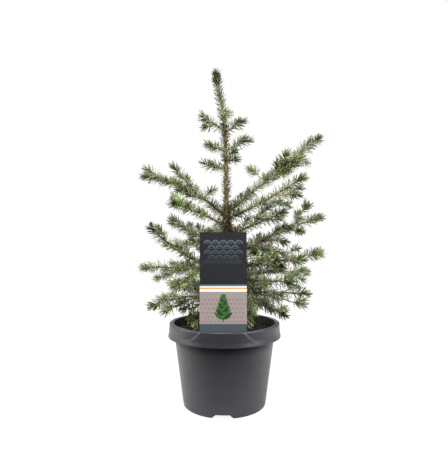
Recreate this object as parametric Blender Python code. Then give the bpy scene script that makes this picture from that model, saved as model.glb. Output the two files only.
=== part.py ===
"""A young Serbian spruce in a round plastic nursery pot, with a picture card pushed into its soil.

Metres, +Z up. The origin is the middle of the pot's underside, and the card faces -Y.
The crown is built as it grows: a trunk, boughs that leave it in whorls, and on each bough one
mass of foliage, which is a stem with side twigs and needles. Every shoot, twig and needle comes
from the sizes of its bough and a seeded rule.
"""

import math
import random
from collections import namedtuple

import bmesh
import bpy
import numpy as np
from mathutils import Vector

GAP = 0.0003  # between pieces that touch
STEEP = 0.95  # the rise of a direction that counts as straight up or down

# The pot: a turned shell with a skirt round its rim, a raised floor and a notched foot.
POT_HEIGHT = 0.137
POT_SIDES = 40
WALL = 0.0015
FOOT_RADIUS = 0.0698
SHOULDER_RADIUS = 0.0861  # outside of the wall, where the skirt hides it
SHOULDER_HEIGHT = 0.112
RIM_INNER_RADIUS = 0.0882
RIM_TOP_RADIUS = 0.0924
SKIRT_RADIUS = 0.0976
SKIRT_FOOT_HEIGHT = 0.1139
SKIRT_LIP = 0.0012
RIM_ROUND = 0.0010
FLOOR_HEIGHT = 0.0065  # underside of the raised floor
FOOT_ROUND = 0.0022
FLOOR_ROUND = 0.0010
CENTRE_FOOT_RADIUS = 0.0125  # a solid pad in the middle of the floor, which stands too
CENTRE_FOOT_DRAFT = 0.0015
NOTCHES = 4
NOTCH_TURN = math.radians(-92.5)
NOTCH_HEIGHT = 0.0060
NOTCH_TOP_WIDTH = 0.0220
NOTCH_FOOT_WIDTH = 0.0345
NOTCH_INNER_RADIUS = 0.0565
NOTCH_OUTER_RADIUS = 0.0785
DRAINS = 8
DRAIN_SIDES = 8
DRAIN_RADIUS = 0.0050
DRAIN_CIRCLE = 0.0450
BEYOND = 0.002  # how far a cutter goes past what it cuts

# The soil.
SOIL_EDGE_HEIGHT = 0.1260
SOIL_TOP_HEIGHT = 0.1275
SOIL_FLAT_RADIUS = 0.0280
SOIL_BEND_SHARE = 0.6  # of its radius, where its slope eases
SOIL_BEND_RISE = 0.0008
SOIL_SIDES = 32

# The picture card: a plain thin sheet, with a tongue that tapers down into the soil.
CARD_X = -0.0020
CARD_Y = -0.0740
CARD_WIDTH = 0.0740
CARD_THICK = 0.0006
CARD_FOOT = 0.1340
CARD_TOP = 0.2900
TONGUE_WIDTH = 0.0300
TONGUE_TIP_WIDTH = 0.0120
TONGUE_TOP = 0.1290
TONGUE_TIP = 0.1020

# The trunk: height over the soil, sideways place and radius of each station.
TRUNK_FOOT = SOIL_TOP_HEIGHT + GAP
TRUNK_SIDES = 10
TRUNK_ROOM = 0.00036  # what other pieces keep clear round it
TRUNK_STATIONS = (
    (0.0000, 0.0000, 0.0098),
    (0.0030, 0.0002, 0.0082),
    (0.0110, 0.0008, 0.0070),
    (0.0600, 0.0028, 0.0062),
    (0.1320, 0.0050, 0.0056),
    (0.2000, 0.0043, 0.0050),
    (0.2130, 0.0038, 0.0040),
    (0.2740, 0.0030, 0.0034),
    (0.3160, 0.0014, 0.0030),
    (0.3540, 0.0005, 0.0026),
    (0.3840, -0.0031, 0.0022),
    (0.4160, -0.0094, 0.0019),
    (0.4310, -0.0118, 0.0017),
)
TRUNK_END = TRUNK_FOOT + TRUNK_STATIONS[-1][0]

# Needles, and the slim core that they stand out of.
NEEDLE = 0.0140
CORE_SIDES = 3
CORE_RADIUS = 0.0018
CORE_END = 0.75  # its radius at the end of a shoot, as a share of that
NEEDLE_STEP = 0.0088
NEEDLE_TURN = math.radians(40)
NEEDLE_SPLAY = math.radians(62)  # between needle and stem along a shoot
TUFT_SPLAY = math.radians(30)  # and at its end
TUFT = 0.012
BUD = 0.0084
NEEDLE_SHARES = np.linspace(0.15, 1, 6)  # where a needle's own length is tested for room
MARGIN = 0.0011

# Side twigs.
GROWTH = 0.056  # from one pair of side twigs to the next
GROWTH_SPREAD = (0.85, 1.15)
FIRST_ON_BOUGH = 0.35  # the first pair, in growths from the start of the foliage
FIRST_ON_TRUNK = 0.75
TWIG_SHARE = 0.38  # of the stem that is left beyond it
TWIG_LEAST = 0.026
TWIG_SPREAD = (0.75, 1.10)
TWIG_BEND = 0.35
TWIG_ANGLE = (44, 60)
TWIG_LIFT = (-14, 30)
TWIG_STEPS = 4
TWIG_MARGIN = NEEDLE / 3  # between a twig and the pot or the card
APART = 0.0105  # between the middles of shoots of different masses
OWN_APART = 0.0070  # and of side twigs of one mass
LIMB_APART = 0.0060

# A bough: where it leaves the trunk, the way it points (0 is +X, 90 is +Y), how far out and how
# high its last shoot ends, how far it arches as a share of its length, its radius at the trunk,
# the share of it that is bare, and the seed of its twigs.
Bough = namedtuple("Bough", "name leaves azimuth reach tip bow radius bare seed")

BOUGHS = (
    Bough("upper_1", 0.329, 15, 0.182, 0.474, 0.00, 0.0034, 0.26, 11),
    Bough("upper_2", 0.317, -29, 0.138, 0.378, -0.02, 0.0026, 0.22, 12),
    Bough("upper_3", 0.286, -39, 0.113, 0.321, 0.00, 0.0022, 0.22, 13),
    Bough("upper_4", 0.320, 165, 0.160, 0.400, 0.085, 0.0030, 0.22, 14),
    Bough("upper_5", 0.303, -139, 0.114, 0.337, 0.02, 0.0022, 0.20, 15),
    Bough("upper_6", 0.274, 148, 0.126, 0.317, -0.04, 0.0022, 0.24, 16),
    Bough("upper_7", 0.303, 92, 0.125, 0.290, 0.05, 0.0022, 0.24, 17),
    Bough("middle_1", 0.247, 19, 0.190, 0.325, 0.02, 0.0030, 0.20, 21),
    Bough("middle_2", 0.232, -18, 0.158, 0.257, -0.02, 0.0024, 0.22, 22),
    Bough("middle_3", 0.214, 27, 0.176, 0.218, 0.02, 0.0024, 0.22, 23),
    Bough("middle_4", 0.207, -37, 0.126, 0.211, 0.02, 0.0022, 0.22, 24),
    Bough("middle_5", 0.226, -163, 0.131, 0.298, -0.09, 0.0024, 0.22, 25),
    Bough("middle_6", 0.217, 166, 0.158, 0.229, 0.03, 0.0024, 0.20, 26),
    Bough("middle_7", 0.236, -137, 0.110, 0.204, 0.08, 0.0022, 0.22, 27),
    Bough("middle_8", 0.262, 58, 0.128, 0.275, -0.02, 0.0022, 0.22, 28),
    Bough("middle_9", 0.240, 92, 0.138, 0.272, -0.02, 0.0024, 0.22, 29),
    Bough("middle_10", 0.256, 124, 0.130, 0.277, -0.02, 0.0022, 0.22, 30),
    Bough("lower_1", 0.186, -12, 0.137, 0.187, 0.02, 0.0024, 0.22, 31),
    Bough("lower_2", 0.173, 4, 0.103, 0.147, 0.08, 0.0020, 0.24, 32),
    Bough("lower_3", 0.180, -167, 0.127, 0.169, 0.06, 0.0024, 0.22, 33),
    Bough("lower_4", 0.184, 62, 0.120, 0.192, 0.02, 0.0022, 0.22, 34),
    Bough("lower_5", 0.180, 116, 0.122, 0.184, 0.02, 0.0022, 0.22, 35),
)
BOUGH_SIDES = 6
BOUGH_RINGS = 4
COLLAR = 0.3  # how much thicker a bough is where it joins the trunk
COLLAR_SHARE = 0.04
TAPER_SHARE = 0.8
STEM_POINTS = 24
# Shoots that leave the trunk with no bare limb of their own.
TRUNK_SHOOTS = (
    Bough("leader_1", 0.475, 167, 0.040, 0.500, 0.04, 0.0016, 0, 41),
    Bough("leader_2", 0.472, -23, 0.034, 0.489, 0.02, 0.0016, 0, 42),
    Bough("leader_3", 0.440, 12, 0.043, 0.462, 0.00, 0.0016, 0, 43),
    Bough("leader_4", 0.438, -140, 0.033, 0.443, 0.05, 0.0016, 0, 44),
    Bough("leader_5", 0.417, -43, 0.024, 0.423, 0.05, 0.0016, 0, 45),
    Bough("leader_6", 0.407, 174, 0.039, 0.417, -0.05, 0.0016, 0, 46),
    Bough("leader_7", 0.500, 60, 0.016, 0.514, 0.00, 0.0016, 0, 47),
    Bough("front_1", 0.228, -92, 0.052, 0.246, 0.05, 0.0020, 0, 51),
    Bough("front_2", 0.176, -55, 0.060, 0.144, 0.12, 0.0020, 0, 52),
    Bough("front_3", 0.174, -137, 0.066, 0.140, 0.12, 0.0020, 0, 53),
)
# Side shoots that stand out in the crown's outline: the bough, the share of it where they leave
# it, the way they point, how steeply they rise in degrees, and their length.
SIDE_SHOOTS = (
    ("upper_1", 0.38, -150, 40, 0.034),
    ("upper_1", 0.46, -50, 42, 0.052),
    ("upper_1", 0.50, 51, 11, 0.039),
    ("upper_1", 0.72, 42, -4, 0.037),
    ("upper_2", 0.62, -50, -4, 0.055),
    ("upper_2", 0.45, 25, 1, 0.058),
    ("upper_3", 0.42, 26, 42, 0.058),
    ("upper_4", 0.32, -156, 46, 0.068),
    ("upper_4", 0.26, -63, 20, 0.034),
    ("upper_4", 0.42, 132, 10, 0.041),
    ("upper_5", 0.50, 159, 31, 0.060),
    ("middle_1", 0.68, -32, 56, 0.050),
    ("middle_1", 0.58, -60, -1, 0.046),
    ("middle_1", 0.36, -44, -4, 0.050),
    ("middle_2", 0.26, -48, 22, 0.058),
    ("middle_2", 0.62, -48, 2, 0.040),
    ("middle_2", 0.50, 31, 21, 0.060),
    ("middle_3", 0.66, -29, -18, 0.044),
    ("middle_5", 0.40, 146, 36, 0.054),
    ("middle_6", 0.42, -152, -12, 0.062),
    ("lower_1", 0.30, -36, -8, 0.098),
    ("lower_3", 0.35, -140, -16, 0.074),
    ("leader_1", 0.45, -153, -21, 0.022),
)

# The tuft that ends the leader grows round the last of the trunk, clear of it, and goes on above.
TIP_FOOT = 0.5150
TIP_END = 0.5780
TIP_SIDES = 5
TIP_FOOT_RADIUS = 0.0042
TIP_CLEAR_RADIUS = 0.0034  # where the trunk ends inside it
TIP_CLEAR = 0.0030
TIP_RINGS = 6


def material(name, colour, roughness):
    made = bpy.data.materials.new(name)
    made.use_nodes = True
    shader = made.node_tree.nodes["Principled BSDF"]
    shader.inputs["Base Color"].default_value = (*colour, 1)
    shader.inputs["Roughness"].default_value = roughness
    return made


def new_object(name, bm, finish):
    """An object of its own from what bm holds, with its faces pointing out."""
    bmesh.ops.recalc_face_normals(bm, faces=bm.faces[:])
    mesh = bpy.data.meshes.new(name)
    bm.to_mesh(mesh)
    bm.free()
    if finish is not None:
        mesh.materials.append(finish)
    made = bpy.data.objects.new(name, mesh)
    bpy.context.scene.collection.objects.link(made)
    return made


def as_cutter(made):
    made.hide_render = True
    made.display_type = "WIRE"
    return made


def boolean(target, other, operation):
    modifier = target.modifiers.new(operation.lower(), "BOOLEAN")
    modifier.operation = operation
    modifier.solver = "EXACT"
    if isinstance(other, bpy.types.Collection):
        modifier.operand_type = "COLLECTION"
        modifier.collection = other
    else:
        modifier.object = other
    return modifier


def apply_modifiers(made):
    graph = bpy.context.evaluated_depsgraph_get()
    mesh = bpy.data.meshes.new_from_object(made.evaluated_get(graph))
    made.modifiers.clear()
    made.data = mesh


def turned(profile, sides):
    """A solid of revolution about +Z from a closed loop of (radius, height) points."""
    bm = bmesh.new()
    loop = [bm.verts.new((radius, 0, height)) for radius, height in profile]
    edges = [bm.edges.new((a, b)) for a, b in zip(loop, loop[1:] + loop[:1], strict=True)]
    bmesh.ops.spin(
        bm,
        geom=loop + edges,
        cent=(0, 0, 0),
        axis=(0, 0, 1),
        angle=math.tau,
        steps=sides,
        use_merge=True,
    )
    bmesh.ops.remove_doubles(bm, verts=bm.verts[:], dist=1e-6)
    bmesh.ops.dissolve_degenerate(bm, dist=1e-7, edges=bm.edges[:])
    return bm


def unit(vector):
    return vector / np.linalg.norm(vector)


def frame_of(way):
    """(forward, left, up) of a direction, with left kept level unless it points up or down."""
    forward = unit(way)
    level = np.array([0, 1, 0]) if abs(forward[2]) > STEEP else np.array([0, 0, 1])
    left = unit(np.cross(level, forward))
    return forward, left, np.cross(forward, left)


def frames(points):
    return [frame_of(step) for step in np.gradient(points, axis=0)]


def ring(point, left, up, radius, sides, turn):
    angles = [turn + math.tau * side / sides for side in range(sides)]
    return [point + radius * (math.cos(a) * left + math.sin(a) * up) for a in angles]


def tube(bm, points, radii, sides, level=False):
    """A round limb along points, with flat ends, square to it or level."""
    rings = []
    for point, (_, left, up), radius in zip(points, frames(points), radii, strict=True):
        if level:
            left, up = np.eye(3)[:2]
        rings.append([bm.verts.new(p) for p in ring(point, left, up, radius, sides, 0)])
    for low, high in zip(rings, rings[1:], strict=False):
        for side in range(sides):
            after = (side + 1) % sides
            bm.faces.new((low[side], low[after], high[after], high[side]))
    bm.faces.new(rings[0][::-1])
    bm.faces.new(rings[-1])


def trunk_at(height):
    """The middle of the trunk at a height over the ground."""
    over, sideways, _ = np.array(TRUNK_STATIONS).T
    return np.array([np.interp(height - TRUNK_FOOT, over, sideways), 0, height])


def bough_points(bough, first, last, steps):
    """Points of a bough's middle from one share of its length to another, on one smooth arch."""
    turn = math.radians(bough.azimuth)
    start = trunk_at(bough.leaves)
    way = np.array([math.cos(turn), math.sin(turn), 0]) * bough.reach
    end = start + way + np.array([0, 0, bough.tip - bough.leaves])
    length = np.linalg.norm(end - start)
    crown = (start + end) / 2 + np.array([0, 0, 2 * bough.bow * length])
    return arch(start, crown, end, np.linspace(first, last, steps))


def bough_radius(bough, share):
    """A collar at the trunk, then an even taper down to the core of a shoot."""
    collar = COLLAR * bough.radius * math.exp(-share / COLLAR_SHARE)
    tapered = (CORE_RADIUS - bough.radius) * min(1, share / TAPER_SHARE)
    return bough.radius + tapered + collar


def limb_of(bough):
    """The points and radii of a bough's bare limb."""
    shares = np.linspace(0, bough.bare, BOUGH_RINGS)
    points = bough_points(bough, 0, bough.bare, BOUGH_RINGS)
    return points, [bough_radius(bough, share) for share in shares]


def path_length(points):
    return np.linalg.norm(np.diff(points, axis=0), axis=1).sum()


def along(points, distance):
    """The point of a path at a distance from its start."""
    steps = np.concatenate([[0], np.cumsum(np.linalg.norm(np.diff(points, axis=0), axis=1))])
    return np.array([np.interp(distance, steps, points[:, axis]) for axis in range(3)])


def resampled(points, step):
    """The path again, in even steps of about that length."""
    length = path_length(points)
    count = max(2, round(length / step)) + 1
    return np.array([along(points, length * i / (count - 1)) for i in range(count)])


def distances(points, starts, ends):
    """How far each point is from each segment, as one row for each point."""
    way = ends - starts
    share = ((points[:, None] - starts) * way).sum(2) / (way**2).sum(1)
    foot = starts + np.clip(share, 0, 1)[..., None] * way
    return np.linalg.norm(points[:, None] - foot, axis=2)


class Segments:
    """Straight pieces of shoots or limbs, with whose they are, which shoot it is, and how thick."""

    def __init__(self):
        self.starts, self.ends, self.owners, self.shoots, self.radii = [], [], [], [], []

    def add(self, owner, shoot, points, radii):
        for i in range(len(points) - 1):
            self.starts.append(points[i])
            self.ends.append(points[i + 1])
            self.owners.append(owner)
            self.shoots.append(f"{owner} {shoot}")
            self.radii.append(max(radii[i], radii[i + 1]))

    def gaps(self, points, use):
        """The least gap from each point to the surface of the segments in use."""
        if not use.any():
            return np.full(len(points), 1.0)
        starts, ends = np.array(self.starts)[use], np.array(self.ends)[use]
        return (distances(points, starts, ends) - np.array(self.radii)[use]).min(1)

    def others(self, owner):
        return np.array(self.owners) != owner

    def is_shoot(self, owner, shoot):
        return np.array(self.shoots) == f"{owner} {shoot}"


def clear_of_pot(points, margin):
    """Whether each point is outside the pot's wall, the soil and the card."""
    x, y, z = points.T
    radius = np.hypot(x, y)
    over = z > POT_HEIGHT + margin
    inside = (radius < RIM_INNER_RADIUS - WALL - margin) & (z > SOIL_TOP_HEIGHT + margin)
    outside = (radius > SKIRT_RADIUS + margin) & (z > POT_HEIGHT / 2)
    at_card = (
        (abs(x - CARD_X) < CARD_WIDTH / 2 + margin)
        & (abs(y - CARD_Y) < CARD_THICK / 2 + 3 * margin)
        & (z < CARD_TOP + margin)
    )
    return (over | inside | outside) & ~at_card


def stem_of(bough):
    """The middle of a mass's own stem: from the end of the bare limb, or from the trunk."""
    points = bough_points(bough, bough.bare, 1, STEM_POINTS)
    if bough.bare:
        points[0] += GAP * unit(points[1] - points[0])
    return points


def arch(start, middle, end, t):
    """Points of the smooth curve from start to end that middle pulls at."""
    t = np.asarray(t)[:, None]
    return (1 - t) ** 2 * start + 2 * t * (1 - t) * middle + t**2 * end


def twig_points(start, forward, left, up, length, rng, side):
    """The middle of a side twig, which leaves at an angle and bends a little to its stem's way."""
    angle = math.radians(rng.uniform(*TWIG_ANGLE))
    lift = math.radians(rng.uniform(*TWIG_LIFT))
    out = side * math.cos(lift) * left + math.sin(lift) * up
    leave = math.cos(angle) * forward + math.sin(angle) * out
    end = start + length * unit(leave + TWIG_BEND * forward)
    middle = start + length / 2 * leave
    return arch(start, middle, end, np.linspace(0, 1, TWIG_STEPS + 1))


def named_twigs(bough):
    """The middles of the side shoots that SIDE_SHOOTS gives this bough."""
    made = []
    for name, share, azimuth, rise, length in SIDE_SHOOTS:
        if name != bough.name:
            continue
        start, ahead = bough_points(bough, share, share + 0.02, 2)
        turn, rise = math.radians(azimuth), math.radians(rise)
        flat = math.cos(rise)
        way = np.array([flat * math.cos(turn), flat * math.sin(turn), math.sin(rise)])
        middle = start + length / 2 * unit(way + TWIG_BEND * unit(ahead - start))
        end = start + length * way
        made.append(arch(start, middle, end, np.linspace(0, 1, TWIG_STEPS + 1)))
    return made


def free_part(points, name, shoots, limbs):
    """The start of a twig up to where it comes near another shoot, a limb or the pot, or nothing
    if that leaves little of it."""
    own_twigs = ~shoots.others(name) & ~shoots.is_shoot(name, 0)
    free = shoots.gaps(points, shoots.others(name)) > APART
    free &= shoots.gaps(points, own_twigs) > OWN_APART
    free &= limbs.gaps(points, limbs.others(None)) > LIMB_APART
    free &= clear_of_pot(points, TWIG_MARGIN)
    free[0] = True
    count = len(points) if free.all() else int(np.argmin(free))
    return points[:count] if count >= 3 else None


def rule_twigs(bough, stem):
    """The middles of pairs of side twigs, a growth apart and shorter towards the tip."""
    rng = random.Random(bough.seed)
    length = path_length(stem)
    at = (FIRST_ON_BOUGH if bough.bare else FIRST_ON_TRUNK) * GROWTH
    while at < length - TWIG_SPREAD[0] * TWIG_LEAST:
        start = along(stem, at)
        forward, left, up = frame_of(along(stem, at + GAP) - start)
        for side in (-1, 1):
            reach = (TWIG_LEAST + TWIG_SHARE * (length - at)) * rng.uniform(*TWIG_SPREAD)
            yield twig_points(start, forward, left, up, reach, rng, side)
        at += GROWTH * rng.uniform(*GROWTH_SPREAD)


def grow_twigs(bough, stem, shoots, limbs):
    """Adds the side twigs of one mass to the shoots, each as far as it has room."""
    made = []
    for points in [*named_twigs(bough), *rule_twigs(bough, stem)]:
        points = free_part(points, bough.name, shoots, limbs)
        if points is not None:
            made.append(points)
            shoots.add(bough.name, len(made), points, np.zeros(len(points)))
    return made


def needle_ends(shoot_points, i, side, sides, length):
    """(foot, tip) of the needle on one face of a shoot's core, between two of its rings."""
    place = (shoot_points[i] + shoot_points[i + 1]) / 2
    forward, left, up = frame_of(shoot_points[i + 1] - shoot_points[i])
    turn = NEEDLE_TURN * (i + 0.5) + math.tau * (side + 0.5) / sides
    out = math.cos(turn) * left + math.sin(turn) * up
    left_over = length * (1 - (i + 0.5) / (len(shoot_points) - 1))
    splay = TUFT_SPLAY + (NEEDLE_SPLAY - TUFT_SPLAY) * min(1, left_over / TUFT)
    tip = place + NEEDLE * (math.cos(splay) * forward + math.sin(splay) * out)
    return place, tip


def needle_grows(name, shoot, foot, tip, shoots, limbs):
    """A needle grows where all of it is nearer its own shoot than any other, off every limb."""
    points = foot + NEEDLE_SHARES[:, None] * (tip - foot)
    mine = shoots.is_shoot(name, shoot)
    carrier = "trunk" if name == "crown_tip" else name
    return bool(
        (shoots.gaps(points, ~mine) > shoots.gaps(points, mine) + MARGIN).all()
        and (limbs.gaps(points, limbs.others(carrier)) > MARGIN).all()
        and clear_of_pot(points, MARGIN).all()
    )


def shoot_mesh(bm, name, shoot, points, radii, sides, shoots, limbs):
    """One shoot: a slim core with a needle on each of its faces that has room for one."""
    length = path_length(points)
    rings = []
    for i, (_, left, up) in enumerate(frames(points)):
        corners = ring(points[i], left, up, radii[i], sides, NEEDLE_TURN * i)
        rings.append([bm.verts.new(p) for p in corners])
    for i in range(len(points) - 1):
        for side in range(sides):
            after = (side + 1) % sides
            face = (rings[i][side], rings[i][after], rings[i + 1][after], rings[i + 1][side])
            foot, tip = needle_ends(points, i, side, sides, length)
            if not needle_grows(name, shoot, foot, tip, shoots, limbs):
                bm.faces.new(face)
                continue
            top = bm.verts.new(tip)
            for a, b in zip(face, face[1:] + face[:1], strict=True):
                bm.faces.new((a, b, top))
    bm.faces.new(rings[0][::-1])
    bud = bm.verts.new(points[-1] + BUD * unit(points[-1] - points[-2]))
    for side in range(sides):
        bm.faces.new((rings[-1][side], rings[-1][(side + 1) % sides], bud))


def keep_largest_body(made):
    """Drops loose scraps and fills any hollow that fusing sealed."""
    bm = bmesh.new()
    bm.from_mesh(made.data)
    bmesh.ops.triangulate(bm, faces=bm.faces[:])
    left = set(bm.faces)
    bodies = []
    while left:
        todo = [left.pop()]
        body = []
        while todo:
            face = todo.pop()
            body.append(face)
            for edge in face.edges:
                near = left.intersection(edge.link_faces) if len(edge.link_faces) == 2 else ()
                left.difference_update(near)
                todo.extend(near)
        bodies.append(body)
    bodies.sort(key=len)
    scraps = [face for body in bodies[:-1] for face in body]
    bmesh.ops.delete(bm, geom=scraps, context="FACES")
    bm.to_mesh(made.data)
    bm.free()


def core_radii(name, shoot, points):
    """The radius of a shoot's core at each of its points."""
    if name == "crown_tip":
        heights = (TIP_FOOT, TRUNK_END + TIP_CLEAR, TIP_END)
        radii = (TIP_FOOT_RADIUS, TIP_CLEAR_RADIUS, CORE_RADIUS)
        return np.interp(points[:, 2], heights, radii)
    starts = {bough.name: bough_radius(bough, bough.bare) for bough in BOUGHS}
    start = CORE_RADIUS if shoot else starts.get(name, CORE_RADIUS)
    return np.linspace(start, CORE_END * CORE_RADIUS, len(points))


def foliage(paths, name, finish, trunk_room, shoots, limbs):
    """One mass: its stem and its side twigs, each with needles, joined into one solid. A mass
    with no bough of its own starts inside the trunk, and is cut clear of it."""
    made = []
    for shoot, points in enumerate(paths):
        fine = resampled(points, NEEDLE_STEP)
        bm = bmesh.new()
        sides = TIP_SIDES if name == "crown_tip" else CORE_SIDES
        radii = core_radii(name, shoot, fine)
        shoot_mesh(bm, name, shoot, fine, radii, sides, shoots, limbs)
        made.append(new_object(f"{name}_shoot_{shoot}", bm, finish))
    mass = made[0]
    twigs = bpy.data.collections.new(name)
    bpy.context.scene.collection.children.link(twigs)
    for twig in made[1:]:
        twigs.objects.link(twig)
        bpy.context.scene.collection.objects.unlink(twig)
    if made[1:]:
        boolean(mass, twigs, "UNION")
    if name not in [bough.name for bough in BOUGHS]:
        boolean(mass, trunk_room, "DIFFERENCE")
    apply_modifiers(mass)
    for twig in made[1:]:
        bpy.data.objects.remove(twig)
    bpy.data.collections.remove(twigs)
    keep_largest_body(mass)
    mass.name = f"{name}_foliage"
    mass.data.name = mass.name
    return mass


def prism(bm, outline, low, high, place):
    """A closed prism: an outline of (across, height) points, pushed from low to high."""
    ends = [[bm.verts.new(place(a, depth, h)) for a, h in outline] for depth in (low, high)]
    bm.faces.new(ends[0])
    bm.faces.new(ends[1][::-1])
    for i in range(len(outline)):
        after = (i + 1) % len(outline)
        bm.faces.new((ends[0][i], ends[1][i], ends[1][after], ends[0][after]))


def make_pot(finish):
    profile = (
        (0.0, 0.0),
        (CENTRE_FOOT_RADIUS, 0.0),
        (CENTRE_FOOT_RADIUS + CENTRE_FOOT_DRAFT, FLOOR_HEIGHT),
        (FOOT_RADIUS - 2.5 * WALL, FLOOR_HEIGHT),
        (FOOT_RADIUS - 2 * WALL, 0.0),
        (FOOT_RADIUS - 0.3 * FOOT_ROUND, 0.0),
        (FOOT_RADIUS + 0.3 * FOOT_ROUND, FOOT_ROUND),
        (SHOULDER_RADIUS, SHOULDER_HEIGHT),
        (RIM_INNER_RADIUS + 0.1 * WALL, POT_HEIGHT - 2.2 * WALL),
        (RIM_TOP_RADIUS - 0.6 * WALL, POT_HEIGHT - 2.6 * WALL),
        (SKIRT_RADIUS - SKIRT_LIP, SKIRT_FOOT_HEIGHT),
        (SKIRT_RADIUS, SKIRT_FOOT_HEIGHT + 0.8 * RIM_ROUND),
        (RIM_TOP_RADIUS + RIM_ROUND, POT_HEIGHT - 3.5 * RIM_ROUND),
        (RIM_TOP_RADIUS - 0.8 * RIM_ROUND, POT_HEIGHT - 0.8 * RIM_ROUND),
        (RIM_TOP_RADIUS - 2.8 * RIM_ROUND, POT_HEIGHT),
        (RIM_INNER_RADIUS, POT_HEIGHT - 0.4 * RIM_ROUND),
        (SHOULDER_RADIUS - WALL, SHOULDER_HEIGHT),
        (FOOT_RADIUS + FLOOR_ROUND - WALL, FLOOR_HEIGHT + WALL),
        (0.0, FLOOR_HEIGHT + WALL),
    )
    pot = new_object("pot", turned(profile, POT_SIDES), finish)
    boolean(pot, make_pot_cutter(), "DIFFERENCE")
    return pot


def make_pot_cutter():
    """The notches in the foot and the drain holes in the floor."""
    bm = bmesh.new()
    outline = (
        (-NOTCH_FOOT_WIDTH / 2, -BEYOND),
        (-NOTCH_FOOT_WIDTH / 2, 0.0),
        (-NOTCH_TOP_WIDTH / 2, NOTCH_HEIGHT),
        (NOTCH_TOP_WIDTH / 2, NOTCH_HEIGHT),
        (NOTCH_FOOT_WIDTH / 2, 0.0),
        (NOTCH_FOOT_WIDTH / 2, -BEYOND),
    )
    for i in range(NOTCHES):
        turn = NOTCH_TURN + math.tau * i / NOTCHES
        out = Vector((math.cos(turn), math.sin(turn), 0))
        across = Vector((-math.sin(turn), math.cos(turn), 0))

        def place(a, depth, h, out=out, across=across):
            return across * a + out * depth + Vector((0, 0, h))

        prism(bm, outline, NOTCH_INNER_RADIUS, NOTCH_OUTER_RADIUS, place)
    for i in range(DRAINS):
        turn = NOTCH_TURN + math.tau * (i + 0.5) / DRAINS
        middle = DRAIN_CIRCLE * Vector((math.cos(turn), math.sin(turn), 0))
        circle = [
            (DRAIN_RADIUS * math.cos(a), DRAIN_RADIUS * math.sin(a))
            for a in (math.tau * k / DRAIN_SIDES for k in range(DRAIN_SIDES))
        ]

        def drop(a, depth, h, middle=middle):
            return middle + Vector((a, h, depth))

        prism(bm, circle, FLOOR_HEIGHT - BEYOND, FLOOR_HEIGHT + WALL + BEYOND, drop)
    return as_cutter(new_object("pot_cutter", bm, None))


def make_soil(finish):
    """The fill, 0.3 mm inside the pot, with a flat top round the trunk that falls to the wall."""
    low = FLOOR_HEIGHT + WALL + GAP
    rise = (SOIL_EDGE_HEIGHT - low) / (SHOULDER_HEIGHT - low)
    foot_radius = FOOT_RADIUS + FLOOR_ROUND - WALL - 2 * GAP
    edge_radius = foot_radius + (SHOULDER_RADIUS - FOOT_RADIUS - FLOOR_ROUND) * rise
    profile = (
        (0.0, low),
        (foot_radius, low),
        (SHOULDER_RADIUS - WALL - 2 * GAP, SHOULDER_HEIGHT),
        (min(edge_radius, RIM_INNER_RADIUS - WALL), SOIL_EDGE_HEIGHT),
        (SOIL_BEND_SHARE * edge_radius, SOIL_EDGE_HEIGHT + SOIL_BEND_RISE),
        (SOIL_FLAT_RADIUS, SOIL_TOP_HEIGHT),
        (0.0, SOIL_TOP_HEIGHT),
    )
    soil = new_object("soil", turned(profile, SOIL_SIDES), finish)
    boolean(soil, make_soil_slot(), "DIFFERENCE")
    return soil


def card_prism(name, outline, thick, finish):
    """A sheet in the card's plane, from an outline of (across, height) points."""

    def place(a, depth, h):
        return Vector((CARD_X + a, CARD_Y + depth, h))

    bm = bmesh.new()
    prism(bm, outline, -thick / 2, thick / 2, place)
    return new_object(name, bm, finish)


def make_soil_slot():
    """The slot that the tongue stands in, 0.3 mm larger all round."""
    rise = TONGUE_TOP + BEYOND
    wide, narrow = TONGUE_WIDTH / 2 + GAP, TONGUE_TIP_WIDTH / 2 + GAP
    low = TONGUE_TIP - GAP
    outline = ((-narrow, low), (narrow, low), (wide, TONGUE_TOP), (wide, rise))
    outline += ((-wide, rise), (-wide, TONGUE_TOP))
    return as_cutter(card_prism("soil_slot", outline, CARD_THICK + 2 * GAP, None))


def make_card(finish):
    half = CARD_WIDTH / 2
    right = (
        (TONGUE_TIP_WIDTH / 2, TONGUE_TIP),
        (TONGUE_WIDTH / 2, TONGUE_TOP),
        (half, CARD_FOOT),
        (half, CARD_TOP),
    )
    left = tuple((-across, height) for across, height in right[::-1])
    return card_prism("label_card", right + left, CARD_THICK, finish)


def trunk_line():
    """The middle of the trunk at each of its stations, and its radii there."""
    over, sideways, radii = np.array(TRUNK_STATIONS).T
    return np.stack([sideways, 0 * over, TRUNK_FOOT + over], axis=1), radii


def make_trunk(finish):
    bm = bmesh.new()
    tube(bm, *trunk_line(), TRUNK_SIDES, level=True)
    return new_object("trunk", bm, finish)


def make_trunk_room():
    """The trunk again, a little thicker and longer, to cut other pieces clear of it."""
    bm = bmesh.new()
    points, radii = trunk_line()
    beyond = np.array([0, 0, BEYOND])
    points = np.vstack([points[0] - beyond, points, points[-1] + beyond / 2])
    radii = TRUNK_ROOM + np.concatenate([radii[:1], radii, radii[-1:]])
    tube(bm, points, radii, TRUNK_SIDES, level=True)
    return as_cutter(new_object("trunk_room", bm, None))


def make_bough(bough, finish, trunk_room):
    bm = bmesh.new()
    tube(bm, *limb_of(bough), BOUGH_SIDES)
    made = new_object(f"{bough.name}_bough", bm, finish)
    boolean(made, trunk_room, "DIFFERENCE")
    apply_modifiers(made)
    return made


def tip_stem():
    """The middle of the leader's last stretch, which goes on as the trunk ends."""
    low = [trunk_at(height) for height in np.linspace(TIP_FOOT, TRUNK_END, TIP_RINGS)]
    ahead = (low[-1] - low[-2]) / (low[-1] - low[-2])[2]
    return np.array([*low, low[-1] + (TIP_END - TRUNK_END) * ahead])


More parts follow.
